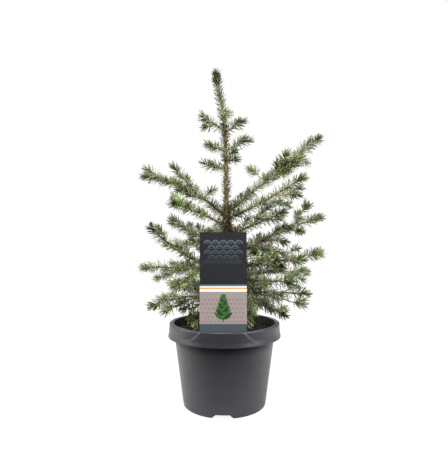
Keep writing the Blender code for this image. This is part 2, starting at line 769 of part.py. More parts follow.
def main():
    for old in list(bpy.data.objects):
        bpy.data.objects.remove(old)
    plastic = material("pot_plastic", (0.055, 0.056, 0.062), 0.42)
    peat = material("soil", (0.020, 0.013, 0.009), 0.95)
    bark = material("bark", (0.170, 0.100, 0.052), 0.85)
    needles = material("needles", (0.070, 0.115, 0.050), 0.60)
    print_stock = material("card", (0.055, 0.060, 0.065), 0.35)

    make_pot(plastic)
    make_soil(peat)
    make_card(print_stock)
    make_trunk(bark)
    trunk_room = make_trunk_room()

    limbs, shoots = Segments(), Segments()
    limbs.add("trunk", 0, *trunk_line())
    for bough in BOUGHS:
        limbs.add(bough.name, 0, *limb_of(bough))

    stems = {bough.name: stem_of(bough) for bough in BOUGHS + TRUNK_SHOOTS}
    stems["crown_tip"] = tip_stem()
    for name, stem in stems.items():
        fine = resampled(stem, NEEDLE_STEP)
        shoots.add(name, 0, fine, np.zeros(len(fine)))
    masses = {name: [stem] for name, stem in stems.items()}
    for bough in BOUGHS + TRUNK_SHOOTS:
        masses[bough.name] += grow_twigs(bough, stems[bough.name], shoots, limbs)

    for bough in BOUGHS:
        make_bough(bough, bark, trunk_room)
    for name, paths in masses.items():
        foliage(paths, name, needles, trunk_room, shoots, limbs)


main()
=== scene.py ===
"""The looks of a potted young Serbian spruce, built around its solid model.

Metres, +Z up, in the model's frame: the origin is the middle of the pot's underside, and the card
faces -Y. The trunk, boughs and twigs grow by the sizes and rules of the part's source, written
again here and carried on to finer twigs and single needles.
"""

import math
import random
from collections import namedtuple

import bmesh
import bpy
import numpy as np
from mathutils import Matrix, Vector, noise


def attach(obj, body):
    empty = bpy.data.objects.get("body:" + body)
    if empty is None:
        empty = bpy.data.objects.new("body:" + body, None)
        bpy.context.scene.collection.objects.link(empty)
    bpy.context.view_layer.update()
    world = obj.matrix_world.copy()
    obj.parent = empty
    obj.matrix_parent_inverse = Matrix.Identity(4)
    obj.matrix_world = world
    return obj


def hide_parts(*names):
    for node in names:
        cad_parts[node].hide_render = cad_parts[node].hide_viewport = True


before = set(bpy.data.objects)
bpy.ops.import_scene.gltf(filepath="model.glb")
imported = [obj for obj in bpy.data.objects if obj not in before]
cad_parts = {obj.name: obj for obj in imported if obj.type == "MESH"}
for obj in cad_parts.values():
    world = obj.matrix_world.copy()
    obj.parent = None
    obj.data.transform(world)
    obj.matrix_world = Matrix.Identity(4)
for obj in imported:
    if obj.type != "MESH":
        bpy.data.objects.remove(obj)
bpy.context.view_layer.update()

GAP = 0.0003
STEEP = 0.95
GOLDEN_TURN = math.radians(137.5)

# The pot.
POT_HEIGHT = 0.137
POT_SIDES = 480
WALL = 0.0015
FOOT_RADIUS = 0.0698
SHOULDER_RADIUS = 0.0861
SHOULDER_HEIGHT = 0.112
RIM_INNER_RADIUS = 0.0882
RIM_TOP_RADIUS = 0.0924
SKIRT_RADIUS = 0.0976
SKIRT_FOOT_HEIGHT = 0.1139
SKIRT_LIP = 0.0012
FLOOR_HEIGHT = 0.0065
FOOT_ROUND = 0.0022
FLOOR_ROUND = 0.0010
CENTRE_FOOT_RADIUS = 0.0125
CENTRE_FOOT_DRAFT = 0.0015
NOTCHES = 4
NOTCH_TURN = math.radians(-92.5)
NOTCH_HEIGHT = 0.0060
NOTCH_TOP_WIDTH = 0.0220
NOTCH_FOOT_WIDTH = 0.0345
NOTCH_INNER_RADIUS = 0.0565
NOTCH_OUTER_RADIUS = 0.0785
DRAINS = 8
DRAIN_RADIUS = 0.0050
DRAIN_CIRCLE = 0.0450
DRAIN_SIDES = 24
BEYOND = 0.002
PANELS = 2  # shallow recesses in the skirt, between its two bosses
PANEL_TOP_DEPTH = 0.0007
PANEL_FOOT_DEPTH = 0.0003
PANEL_TOP_HALF_TURN = math.radians(69.5)
PANEL_FOOT_HALF_TURN = math.radians(61)
PANEL_FOOT = 0.1215
PANEL_CORNER = 0.0080
PANEL_EDGE = 0.0044
SKIRT_FLARE = 0.0013
SKIRT_FLARE_HEIGHT = 0.0066

# The soil.
SOIL_EDGE_HEIGHT = 0.1260
SOIL_TOP_HEIGHT = 0.1275
SOIL_FLAT_RADIUS = 0.0280
SOIL_DEPTH = 0.0040  # below its edge
SOIL_SETTLED = 0.0010
# Its lumps, crumbs and fines: how close together, the layer of the pattern, and how high.
SOIL_RELIEF = ((90, 0, 0.0014), (420, 3, 0.0008), (1200, 7, 0.0003))

# The card.
CARD_X = -0.0020
CARD_Y = -0.0740
CARD_WIDTH = 0.0740
CARD_THICK = 0.0006
CARD_FOOT = 0.1340
CARD_TOP = 0.2900
CARD_CORNER = 0.001
TONGUE_WIDTH = 0.0300
TONGUE_TIP_WIDTH = 0.0120
TONGUE_TOP = 0.1290
TONGUE_TIP = 0.1020
PRINT_RISE = 0.00002
PRINT_STEP = 0.0000009  # how far each shape of the print lies before the one under it

# The trunk: height over the soil, sideways place and radius of each station.
TRUNK_FOOT = SOIL_TOP_HEIGHT + GAP
TRUNK_STATIONS = (
    (0.0000, 0.0000, 0.0098),
    (0.0030, 0.0002, 0.0082),
    (0.0110, 0.0008, 0.0070),
    (0.0600, 0.0028, 0.0062),
    (0.1320, 0.0050, 0.0056),
    (0.2000, 0.0043, 0.0050),
    (0.2130, 0.0038, 0.0040),
    (0.2740, 0.0030, 0.0034),
    (0.3160, 0.0014, 0.0030),
    (0.3540, 0.0005, 0.0026),
    (0.3840, -0.0031, 0.0022),
    (0.4160, -0.0094, 0.0019),
    (0.4310, -0.0118, 0.0017),
)
TRUNK_END = TRUNK_FOOT + TRUNK_STATIONS[-1][0]
LEADER_END = 0.5780

# A bough: where it leaves the trunk, the way it points (0 is +X, 90 is +Y), how far out and how
# high its last shoot ends, how far it arches as a share of its length, its radius at the trunk,
# the share of it that bears no twigs, and the seed of its twigs.
Bough = namedtuple("Bough", "name leaves azimuth reach tip bow radius bare seed")
BOUGHS = (
    Bough("upper_1", 0.329, 15, 0.182, 0.474, 0.00, 0.0034, 0.26, 11),
    Bough("upper_2", 0.317, -29, 0.138, 0.378, -0.02, 0.0026, 0.22, 12),
    Bough("upper_3", 0.286, -39, 0.113, 0.321, 0.00, 0.0022, 0.22, 13),
    Bough("upper_4", 0.320, 165, 0.160, 0.400, 0.085, 0.0030, 0.22, 14),
    Bough("upper_5", 0.303, -139, 0.114, 0.337, 0.02, 0.0022, 0.20, 15),
    Bough("upper_6", 0.274, 148, 0.126, 0.317, -0.04, 0.0022, 0.24, 16),
    Bough("upper_7", 0.303, 92, 0.125, 0.290, 0.05, 0.0022, 0.24, 17),
    Bough("middle_1", 0.247, 19, 0.190, 0.325, 0.02, 0.0030, 0.20, 21),
    Bough("middle_2", 0.232, -18, 0.158, 0.257, -0.02, 0.0024, 0.22, 22),
    Bough("middle_3", 0.214, 27, 0.176, 0.218, 0.02, 0.0024, 0.22, 23),
    Bough("middle_4", 0.207, -37, 0.126, 0.211, 0.02, 0.0022, 0.22, 24),
    Bough("middle_5", 0.226, -163, 0.131, 0.298, -0.09, 0.0024, 0.22, 25),
    Bough("middle_6", 0.217, 166, 0.158, 0.229, 0.03, 0.0024, 0.20, 26),
    Bough("middle_7", 0.236, -137, 0.110, 0.204, 0.08, 0.0022, 0.22, 27),
    Bough("middle_8", 0.262, 58, 0.128, 0.275, -0.02, 0.0022, 0.22, 28),
    Bough("middle_9", 0.240, 92, 0.138, 0.272, -0.02, 0.0024, 0.22, 29),
    Bough("middle_10", 0.256, 124, 0.130, 0.277, -0.02, 0.0022, 0.22, 30),
    Bough("lower_1", 0.186, -12, 0.137, 0.187, 0.02, 0.0024, 0.22, 31),
    Bough("lower_2", 0.173, 4, 0.103, 0.147, 0.08, 0.0020, 0.24, 32),
    Bough("lower_3", 0.180, -167, 0.127, 0.169, 0.06, 0.0024, 0.22, 33),
    Bough("lower_4", 0.184, 62, 0.120, 0.192, 0.02, 0.0022, 0.22, 34),
    Bough("lower_5", 0.180, 116, 0.122, 0.184, 0.02, 0.0022, 0.22, 35),
)
TRUNK_SHOOTS = (
    Bough("leader_1", 0.475, 167, 0.040, 0.500, 0.04, 0.0016, 0, 41),
    Bough("leader_2", 0.472, -23, 0.034, 0.489, 0.02, 0.0016, 0, 42),
    Bough("leader_3", 0.440, 12, 0.043, 0.462, 0.00, 0.0016, 0, 43),
    Bough("leader_4", 0.438, -140, 0.033, 0.443, 0.05, 0.0016, 0, 44),
    Bough("leader_5", 0.417, -43, 0.024, 0.423, 0.05, 0.0016, 0, 45),
    Bough("leader_6", 0.407, 174, 0.039, 0.417, -0.05, 0.0016, 0, 46),
    Bough("leader_7", 0.500, 60, 0.016, 0.514, 0.00, 0.0016, 0, 47),
    Bough("front_1", 0.228, -92, 0.052, 0.246, 0.05, 0.0020, 0, 51),
    Bough("front_2", 0.176, -55, 0.060, 0.144, 0.12, 0.0020, 0, 52),
    Bough("front_3", 0.174, -137, 0.066, 0.140, 0.12, 0.0020, 0, 53),
    Bough("new_1", 0.2395, -30, 0.088, 0.2530, 0.01, 0.0015, 0, 54),
)
# Side shoots that stand out in the crown's outline, by their bough: the share of it where they
# leave it, the way they point, how steeply they rise in degrees, and their length.
SIDE_SHOOTS = {
    "upper_1": (
        (0.38, -150, 40, 0.034),
        (0.46, -50, 42, 0.052),
        (0.50, 51, 11, 0.039),
        (0.72, 42, -4, 0.037),
    ),
    "upper_2": ((0.62, -50, -4, 0.055), (0.45, 25, 1, 0.058)),
    "upper_3": ((0.42, 26, 42, 0.058),),
    "upper_4": ((0.32, -156, 46, 0.068), (0.26, -63, 20, 0.034), (0.42, 132, 10, 0.041)),
    "upper_5": ((0.50, 159, 31, 0.060),),
    "middle_1": (
        (0.68, -32, 56, 0.050),
        (0.58, -60, -1, 0.046),
        (0.36, -44, -4, 0.050),
        (0.10, 30, -8, 0.075),
        (0.22, -20, -10, 0.060),
    ),
    "middle_2": ((0.26, -48, 8, 0.060), (0.62, -48, 2, 0.040), (0.50, 31, 21, 0.060)),
    "middle_3": ((0.12, 20, 25, 0.056), (0.66, -29, -18, 0.044)),
    "middle_5": ((0.40, 146, 36, 0.054),),
    "middle_6": ((0.42, -152, -12, 0.062),),
    "lower_1": ((0.30, -36, -8, 0.098), (0.26, -80, -62, 0.050), (0.37, -70, -50, 0.026)),
    "lower_3": ((0.35, -140, -16, 0.074), (0.28, -118, -62, 0.050), (0.40, -112, -56, 0.044)),
    "leader_1": ((0.45, -153, -21, 0.022),),
    "lower_2": ((0.40, -88, -50, 0.038),),
    "middle_4": ((0.34, -60, -66, 0.050),),
    "middle_7": ((0.42, -126, -66, 0.050),),
}

# The shoots whose stems are this year's, yellow-green and bare at first, and the bare share.
NEW_SHOOTS = {("upper_1", 0.38): 0.45, ("new_1", 0): 0.62}

# Twigs: the spacing along their stem, their length as a share of the stem left beyond them, the
# least length, how near they may come to another shoot, and how far along the stem the first is.
TWIG_RULES = {
    1: {"step": 0.028, "share": 0.42, "least": 0.022, "apart": 0.0050, "first": 0.010},
    2: {"step": 0.030, "share": 0.36, "least": 0.014, "apart": 0.0050, "first": 0.016},
}
TWIG_SPREAD = (0.75, 1.10)
STEP_SPREAD = (0.70, 1.30)
TWIG_BEND = 0.35
TWIG_ANGLE = (38, 56)
TWIG_LIFT = (-16, 34)
TWIG_STEPS = 6
TWIG_MARGIN = 0.0047
PATH_STEP = 0.003
BOUGH_SWAY = 0.0006
TWIG_SWAY = 0.0004
SWAY_WAVES = (0.022, 0.040)
LEAST_STEM = 0.042  # a twig shorter than this bears no twigs of its own
TRUNK_OWNER = -2
LIMB_APART = 0.0040
# How much farther apart the twigs of a tier or a bough stand than the rule's.
SPARSE = {"upper": 1.55, "leader": 2.4, "middle": 1.75, "lower": 1.5, "front": 1.2}
SPARSE |= {"middle_2": 1.5, "middle_4": 1.3, "lower_1": 1.2, "lower_2": 1.2}
SPARSE |= {"middle_8": 2.4, "middle_9": 2.4, "middle_10": 2.6}
# How long the twigs of some boughs are, as a share of the rule's, and how much farther apart the
# twigs of some stand towards the bough's end.
REACH = {"upper_1": 0.60, "upper_2": 0.29, "upper_3": 0.25, "upper_4": 0.50, "upper_5": 0.36}
REACH |= {"upper_6": 0.36, "middle_1": 0.34, "middle_2": 0.45, "middle_3": 0.40, "middle_4": 0.45}
REACH |= {"middle_5": 0.36, "middle_6": 0.38, "middle_8": 0.5, "middle_10": 0.5}
REACH |= {"lower_1": 0.40, "lower_2": 0.40, "lower_3": 0.42}
OPENING_AT_FOOT = 0.22
USUAL_OPENING = 0.55
OPENING = {"middle_2": 1.5, "middle_3": 2.0, "middle_4": 1.6, "lower_1": 1.8, "lower_2": 1.2}

BOUGH_END_RADIUS = 0.0011
TWIG_RADII = {1: (0.00115, 0.00075), 2: (0.00085, 0.00062)}
# The collar of a bough, as a share of its radius, and how far along the bough it goes. The trunk
# swells where a bough leaves it.
COLLAR = 0.3
COLLAR_SHARE = 0.04
SWELL_AT_BOUGH, SWELL_REACH = 0.09, 0.006
# Bark: the step along a limb, its sides, and the relief of its scales and of the pegs under its
# needles, as shares of its radius.
BARK_STEPS = {"trunk": 0.0014, "bough": 0.0015, "twig": 0.0022}
BARK = {
    "trunk": {"sides": 32, "relief": 0.11, "pegs": 0.04},
    "bough": {"sides": 12, "relief": 0.09, "pegs": 0.14},
    "twig": {"sides": 7, "relief": 0.05, "pegs": 0.22},
    "bud": {"sides": 8, "relief": 0.12, "pegs": 0.0},
}
PEG_STEP = 0.0022
# Buds: their length on boughs and on twigs, their outline from foot to tip, and half their width as
# a share of their length.
BUD_LENGTHS = (0.0034, 0.0028)
BUD_SHAPE = ((0.0, 0.55), (0.25, 0.95), (0.5, 1.0), (0.75, 0.7), (0.93, 0.3))
BUD_HALF_WIDTH = 0.42

# Needles: their length, width and thickness, and their width at stations from foot to tip.
NEEDLE = 0.0152
NEEDLE_WIDTH = 0.00125
NEEDLE_THICK = 0.00066
NEEDLE_STATIONS = (0.0, 0.20, 0.78, 1.0)
NEEDLE_SHAPE = (0.42, 1.0, 0.86, 0.0)
NEEDLE_BEND = 0.07
NEEDLES_A_PIECE = 11000
# How many there are a metre on boughs, twigs and their twigs, how far along these they start, and how
# many more there are a metre on the bare start of a bough.
NEEDLES_A_METRE = {0: 1250, 1: 900, 2: 820}
FIRST_NEEDLE = {0: 0.004, 1: 0.001, 2: 0.001}
NEEDLES_ON_COMB = 2300
NEEDLE_SHIFT = 0.0006  # how unevenly they stand along the shoot
# The tuft at a shoot's end: its length, how many more needles it has, and how they crowd towards
# the tip. A bough has a longer one too.
TUFT = 0.014
TUFT_MORE = 2.8
TUFT_CLOSING = 1.4
LEADING_TUFT = 0.034
LEADING_TUFT_NEEDLES = 60
# How far they lean away from twigs, in a tuft and on boughs, and how unevenly they lean, turn round
# the shoot, point and face.
SPLAY = math.radians(60)
TUFT_SPLAY = math.radians(24)
OLD_SPLAY = math.radians(66)
SPLAY_SPREAD = math.radians(9)
TURN_SPREAD = 0.22
WAY_SPREAD = 0.05
TOP_SPREAD = 0.5
FOOT_IN_BARK = 0.8  # as a share of the shoot's radius
LENGTH_SPREAD = (0.72, 1.04)
WIDTH_SPREAD = (0.85, 1.15)
# They are shorter at the start of a shoot, and on the older part of a bough.
SHORT_START = ((0, 0.012), (0.72, 1))
SHORT_OLD = ((0.03, 0.08), (1, 0.86))
# Some boughs bear denser needles all along, or more of them within a radius of the trunk, or keep
# only a share of them outside it.
DENSER = {"upper_1": 1.40, "upper_4": 1.12}
INNER_RADIUS = 0.085
INNER_MORE = {"middle_1": 0.4, "middle_2": 0.5, "middle_3": 0.3, "middle_4": 0.3, "lower_1": 0.3}
OUTER_SHARE = {"middle_1": 0.76, "middle_2": 0.66, "middle_3": 0.50, "middle_4": 0.54}
OUTER_SHARE |= {"middle_6": 0.70, "middle_7": 0.72, "lower_1": 0.56, "lower_2": 0.64, "lower_3": 0.66}
# The leader's needles: where they start, how many there are, the length and number of those in its
# tuft, and, by height, the share of them that is kept, their splay in degrees and their length.
LEADER_FOOT = 0.330
LEADER_NEEDLES = 900
LEADER_TUFT = 0.017
LEADER_TUFT_NEEDLES = 120
LEADER_KEPT = ((0.33, 0.46, 0.49, LEADER_END), (0.42, 0.6, 0.7, 0.85))
LEADER_SPLAY = ((0.33, 0.47, 0.50, 0.56, LEADER_END), (62, 60, 56, 50, 24))
LEADER_LENGTHS = ((0.33, 0.45, 0.50, LEADER_END), (0.0095, 0.0100, 0.0120, 0.0140))
# The stubs of old needles on the trunk, and the longer ones below the leader.
STUBS = 1100
STUB_HEIGHTS = (TRUNK_FOOT + 0.02, 0.505)
LOW_STUBS = 420
LOW_STUB_HEIGHTS = (0.285, 0.337)
LOW_STUBS_LONGER = (1.0, 1.9)
STUB_LENGTHS = (0.0030, 0.0058)
STUB_WIDTHS = (0.0008, 0.0014)
# How far the needles keep from the pot and the soil, from the card and from the limbs.
NEEDLE_MARGIN = 0.0006
CARD_MARGIN = 0.001
LIMB_MARGIN = 0.0002
# How far from the bare part of a new stem a needle in front of it has to stay.
STEM_IN_SIGHT = 0.0028

# Colours of needles from above and below, as linear red, green and blue.
NEEDLE_COLOURS = {
    "dark": ((0.028, 0.046, 0.006), (0.078, 0.102, 0.034)),
    "green": ((0.115, 0.166, 0.034), (0.225, 0.275, 0.115)),
    "grey": ((0.295, 0.322, 0.215), (0.720, 0.735, 0.640)),
    "olive": ((0.255, 0.243, 0.125), (0.560, 0.515, 0.375)),
    "bright": ((0.175, 0.262, 0.040), (0.270, 0.345, 0.112)),
}
COLOUR_NAMES = tuple(NEEDLE_COLOURS)
DARK, BRIGHT = COLOUR_NAMES.index("dark"), COLOUR_NAMES.index("bright")
# How often each of these colours shows in the older part of a spray, on the bare start of a bough,
# and at the end of a spray. The boughs in PALE have paler older sprays.
OLD_SPRAY = (0.8, 2.1, 4.6, 2.7, 0.1)
PALE_SPRAY = (0.4, 1.8, 5.0, 3.0, 0.1)
NEW_SPRAY = (1, 4, 1, 1, 12)
COMB_WEIGHTS = (0.42, 0.24, 0.10, 0.24, 0)
LEADING_END = (7, 3.6, 0.2, 0.2, 0.4)
SIDE_END = (2, 4, 2, 1, 0.4)
LEADER_TIP_WEIGHTS = (0.9, 0.1, 0, 0, 0)
LEADER_WEIGHTS = (0.28, 0.14, 0.18, 0.40, 0)
LEADER_TIP_FOOT, LEADER_TIP_FADE = 0.560, 0.010
PALE = ("upper_5", "upper_6", "middle_3", "middle_4", "middle_5", "middle_6", "middle_7")
PALE += ("lower_1", "lower_2", "lower_3")
# The crown shades this share of the needles near the trunk, between two heights. Each limit fades
# in over a length.
SHADED_SHARE = 0.62
SHADED_RADIUS, SHADED_RADIUS_FADE = 0.082, 0.035
SHADED_TOP, SHADED_TOP_FADE = 0.300, 0.020
SHADED_FOOT, SHADED_FOOT_FADE = 0.178, 0.012
# Where the freshest, yellower sprays are, seen from the front: across and height at the trunk.
FRESH_TIPS = (
    (0.047, 0.397),
    (0.095, 0.401),
    (0.112, 0.419),
    (0.089, 0.358),
    (0.152, 0.320),
    (0.135, 0.293),
    (0.090, 0.255),
    (0.170, 0.257),
    (0.135, 0.243),
    (0.129, 0.227),
    (0.145, 0.184),
    (-0.136, 0.398),
    (-0.083, 0.381),
    (-0.080, 0.342),
    (-0.094, 0.268),
    (-0.121, 0.216),
    (-0.049, 0.216),
    (-0.071, 0.202),
    (-0.006, 0.412),
    (-0.001, 0.507),
)
# How far such a place reaches, the share of bright needles in its middle and how fast it falls off,
# and how far back it goes.
FRESH_REACH = 0.011
FRESH_SHARE, FRESH_FADE = 0.70, 0.6
FRESH_BACK = 0.06

# Rough finishes: their dark and light colour, the scale of their flakes, and for the trunk its two
# colours towards the ground too, which it has up to the lower of the heights in OLD_BARK_TOP.
ROUGH_FINISHES = {
    "old_bark": (
        (0.100, 0.074, 0.034),
        (0.315, 0.250, 0.140),
        260,
        ((0.030, 0.017, 0.006), (0.200, 0.128, 0.054)),
    ),
    "young_bark": ((0.165, 0.124, 0.062), (0.335, 0.264, 0.155), 500),
    "fresh_bark": ((0.400, 0.450, 0.150), (0.640, 0.680, 0.330), 500),
    "bud_scales": ((0.060, 0.030, 0.014), (0.160, 0.085, 0.040), 700),
    "stubs": ((0.060, 0.042, 0.020), (0.230, 0.180, 0.095), 500),
    # Painted shade: a near-black finish, mottled like soil stains, for the pot's inner wall.
    "pot_inside": ((0.008, 0.007, 0.006), (0.018, 0.016, 0.014), 90),
    "bark_chips": ((0.035, 0.020, 0.012), (0.150, 0.090, 0.050), 500),
    "peat_fibre": ((0.090, 0.060, 0.035), (0.240, 0.170, 0.100), 500),
}
OLD_BARK_TOP = (0.322, 0.372)

# What lies on the soil: its size, flatness and number, and its finish by number.
SOIL_BITS = ((0.0016, 0.7, 1500, 0), (0.0030, 0.45, 260, 1), (0.0040, 0.10, 240, 2))

# The card's stripes, each from the top of the one before it up to its own, and its colours.
STRIPES = ((0.0040, "white"), (0.0066, "orange"), (0.0086, "white"), (0.0112, "teal"))
CARD_COLOURS = {
    "charcoal": (0.0185, 0.0190, 0.0220),
    "dusk_0": (0.085, 0.105, 0.125),
    "dusk_1": (0.070, 0.088, 0.106),
    "dusk_2": (0.056, 0.070, 0.086),
    "dusk_3": (0.043, 0.053, 0.066),
    "dusk_4": (0.033, 0.039, 0.048),
    "white": (0.80, 0.80, 0.78),
    "orange": (0.72, 0.34, 0.09),
    "teal": (0.10, 0.17, 0.17),
    "beige": (0.300, 0.250, 0.235),
    "rose": (0.225, 0.155, 0.160),
    "leaf_dark": (0.012, 0.050, 0.010),
    "leaf_green": (0.030, 0.120, 0.020),
    "slate": (0.062, 0.080, 0.090),
}

# Light. The room in front of the plant is darker than the white sweep behind and beside it. The
# floor gives back light as FLOOR_FRONT before the plant and as FLOOR_BOUNCE behind it. The camera
# sees it as white: FLOOR_SEEN of the light on it, and a glow.
DARK_FRONT = 0.06
SWEEP = 0.85
FLOOR_FRONT = 0.03
FLOOR_BOUNCE = 0.69
FLOOR_GLOW = 0.90
FLOOR_SEEN = 0.10
FLOOR_SIZE = 30
FLOOR_DROP = 0.0002  # below the pot's underside
# The lamps: place, width and power. They face one point of the plant.
LAMPS = {
    "front": ((-0.3, -1.1, 2.2), 0.9, 66),
    "left": ((-1.7, -0.30, 0.95), 1.3, 40),
    "right": ((1.5, -0.95, 1.00), 1.2, 48),
}
LIT_POINT = (0, 0, 0.25)

# The photograph's angle: the eye's place, how far it looks up, and its focal length and width in
# pixels of the photograph.
EYE = (-0.0008, -0.6876, 0.264)
LOOK_UP = 0.061
FOCAL_PIXELS = 387.2
PHOTO_PIXELS = 448
FILM_WIDTH = 36

# Meshes.


class Mesh:
    """Points and triangles that are gathered up, with a material slot for each triangle."""

    def __init__(self):
        self.points, self.faces, self.slots = [], [], []
        self.count = 0

    def add(self, points, faces, slot=0):
        self.points.append(np.asarray(points, float).reshape(-1, 3))
        self.faces.append(np.asarray(faces, np.int64) + self.count)
        self.slots.append(np.broadcast_to(slot, len(faces)))
        self.count += len(self.points[-1])

    def build(self, name, materials, smooth=True):
        faces = np.concatenate(self.faces)
        mesh = bpy.data.meshes.new(name)
        mesh.from_pydata(np.concatenate(self.points), [], faces)
        slots = np.concatenate(self.slots).astype(np.int32)
        mesh.polygons.foreach_set("material_index", slots)
        mesh.polygons.foreach_set("use_smooth", np.full(len(faces), smooth))
        for finish in materials:
            mesh.materials.append(finish)
        mesh.validate()
        return placed(name, mesh)


def placed(name, data):
    made = bpy.data.objects.new(name, data)
    bpy.context.scene.collection.objects.link(made)
    return made


def from_bmesh(name, bm, materials):
    mesh = bpy.data.meshes.new(name)
    bm.to_mesh(mesh)
    bm.free()
    for finish in materials:
        mesh.materials.append(finish)
    return placed(name, mesh)


def prism(bm, outline, place, low, high):
    """The faces of a prism between two depths: its low end, its high end, then its sides."""
    ends = [[bm.verts.new(place(a, b, depth)) for a, b in outline] for depth in (low, high)]
    faces = [bm.faces.new(ends[0]), bm.faces.new(ends[1][::-1])]
    for i in range(len(outline)):
        j = (i + 1) % len(outline)
        faces.append(bm.faces.new((ends[0][i], ends[1][i], ends[1][j], ends[0][j])))
    return faces


def grid_faces(rows, columns):
    """Triangles of a grid of points, each of whose rows joins up with itself."""
    row, column = np.meshgrid(np.arange(rows - 1), np.arange(columns), indexing="ij")
    after = (column + 1) % columns
    a, b = row * columns + column, row * columns + after
    c, d = b + columns, a + columns
    return np.concatenate([np.stack([a, b, c], -1), np.stack([a, c, d], -1)]).reshape(-1, 3)


def unit(vectors):
    return vectors / np.linalg.norm(vectors, axis=-1, keepdims=True)


def path_frames(points):
    """(forward, left, up) at each point of a path, with left kept level."""
    forward = unit(np.gradient(points, axis=0))
    steep = np.abs(forward[:, 2:]) > STEEP
    level = np.where(steep, np.array([0, 1, 0]), np.array([0, 0, 1]))
    left = unit(np.cross(level, forward))
    return forward, left, np.cross(forward, left)


def lengths_along(points):
    return np.concatenate([[0], np.cumsum(np.linalg.norm(np.diff(points, axis=0), axis=1))])


def along(points, where):
    """The points of a path at distances from its start."""
    steps = lengths_along(points)
    return np.stack([np.interp(where, steps, points[:, axis]) for axis in range(3)], axis=-1)


def resampled(points, step):
    length = lengths_along(points)[-1]
    return along(points, np.linspace(0, length, max(2, round(length / step)) + 1))


def arch(start, middle, end, t):
    t = np.asarray(t)[:, None]
    return (1 - t) ** 2 * start + 2 * t * (1 - t) * middle + t**2 * end


def wavering(points, rng, size):
    """The path with a slight sway to either side, and its start where it was."""
    _, left, up = path_frames(points)
    run = lengths_along(points)
    share = (run / run[-1])[:, None]
    for side in (left, up):
        wave, phase = rng.uniform(*SWAY_WAVES), rng.uniform(0, math.tau)
        sway = np.sin(math.tau * run / wave + phase) - math.sin(phase)
        points = points + size * np.sqrt(share) * sway[:, None] * side
    return points


# Growth.


def trunk_at(height):
    over, sideways, _ = np.array(TRUNK_STATIONS).T
    return np.array([np.interp(height - TRUNK_FOOT, over, sideways), 0, height])


def trunk_radius(heights):
    over, _, radii = np.array(TRUNK_STATIONS).T
    return np.interp(heights - TRUNK_FOOT, over, radii)


def bough_points(bough, first, last, steps):
    turn = math.radians(bough.azimuth)
    start = trunk_at(bough.leaves)
    way = np.array([math.cos(turn), math.sin(turn), 0]) * bough.reach
    end = start + way + np.array([0, 0, bough.tip - bough.leaves])
    length = np.linalg.norm(end - start)
    crown = (start + end) / 2 + np.array([0, 0, 2 * bough.bow * length])
    return arch(start, crown, end, np.linspace(first, last, steps))


Shoot = namedtuple("Shoot", "bough order points radii seed fresh")


class Segments:
    """Straight pieces of shoots, and how thick each is."""

    def __init__(self):
        self.starts, self.ends = np.empty((0, 3)), np.empty((0, 3))
        self.radii, self.owners = np.empty(0), np.empty(0, int)

    def add(self, owner, points, radii):
        self.starts = np.vstack([self.starts, points[:-1]])
        self.ends = np.vstack([self.ends, points[1:]])
        self.radii = np.append(self.radii, np.maximum(radii[:-1], radii[1:]))
        self.owners = np.append(self.owners, np.full(len(points) - 1, owner))

    def gaps(self, points, leave_out=-1):
        """The least gap from each point to the surface of the pieces of the other owners."""
        use = self.owners != leave_out
        starts, ends = self.starts[use], self.ends[use]
        way = ends - starts
        share = ((points[:, None] - starts) * way).sum(2) / (way**2).sum(1)
        foot = starts + np.clip(share, 0, 1)[..., None] * way
        return (np.linalg.norm(points[:, None] - foot, axis=2) - self.radii[use]).min(1)


def clear_of_pot(points, margin):
    """Whether each point is outside the pot's wall, the soil and the card."""
    x, y, z = points.T
    radius = np.hypot(x, y)
    over = z > POT_HEIGHT + margin
    inside = (radius < RIM_INNER_RADIUS - WALL - margin) & (z > SOIL_TOP_HEIGHT + margin)
    outside = (radius > SKIRT_RADIUS + margin) & (z > POT_HEIGHT / 2)
    at_card = (
        (abs(x - CARD_X) < CARD_WIDTH / 2 + margin)
        & (abs(y - CARD_Y) < CARD_THICK / 2 + margin)
        & (z < CARD_TOP + margin)
    )
    return (over | inside | outside) & ~at_card


def tier(bough):
    return bough.name.split("_")[0]


def rule_twigs(bough, order, stem, rng):
    """The middles of side twigs in loose pairs, shorter towards the tip of their stem."""
    rule = TWIG_RULES[order]
    length = lengths_along(stem)[-1]
    step = rule["step"] * SPARSE.get(bough.name, SPARSE[tier(bough)])
    at = rule["first"] * rng.uniform(*STEP_SPREAD)
    side = rng.choice((-1, 1))
    while at < length - 0.75 * rule["least"]:
        start, ahead = along(stem, [at, at + GAP])
        forward, left, up = (vector[0] for vector in path_frames(np.array([start, ahead])))
        angle = math.radians(rng.uniform(*TWIG_ANGLE))
        lift = math.radians(rng.uniform(*TWIG_LIFT))
        out = side * math.cos(lift) * left + math.sin(lift) * up
        leave = math.cos(angle) * forward + math.sin(angle) * out
        share = rule["share"] * REACH.get(bough.name, 1)
        reach = (rule["least"] + share * (length - at)) * rng.uniform(*TWIG_SPREAD)
        end = start + reach * unit(leave + TWIG_BEND * forward)
        yield arch(start, start + reach / 2 * leave, end, np.linspace(0, 1, TWIG_STEPS + 1))
        side = -side
        opening = OPENING_AT_FOOT + OPENING.get(bough.name, USUAL_OPENING) * at / length
        at += step * rng.uniform(*STEP_SPREAD) * opening


def named_twigs(bough):
    for share, azimuth, rise, length in SIDE_SHOOTS.get(bough.name, ()):
        start, ahead = bough_points(bough, share, share + 0.02, 2)
        turn, rise = math.radians(azimuth), math.radians(rise)
        flat = math.cos(rise)
        way = np.array([flat * math.cos(turn), flat * math.sin(turn), math.sin(rise)])
        middle = start + length / 2 * unit(way + TWIG_BEND * unit(ahead - start))
        path = arch(start, middle, start + length * way, np.linspace(0, 1, TWIG_STEPS + 1))
        yield path, NEW_SHOOTS.get((bough.name, share), 0)


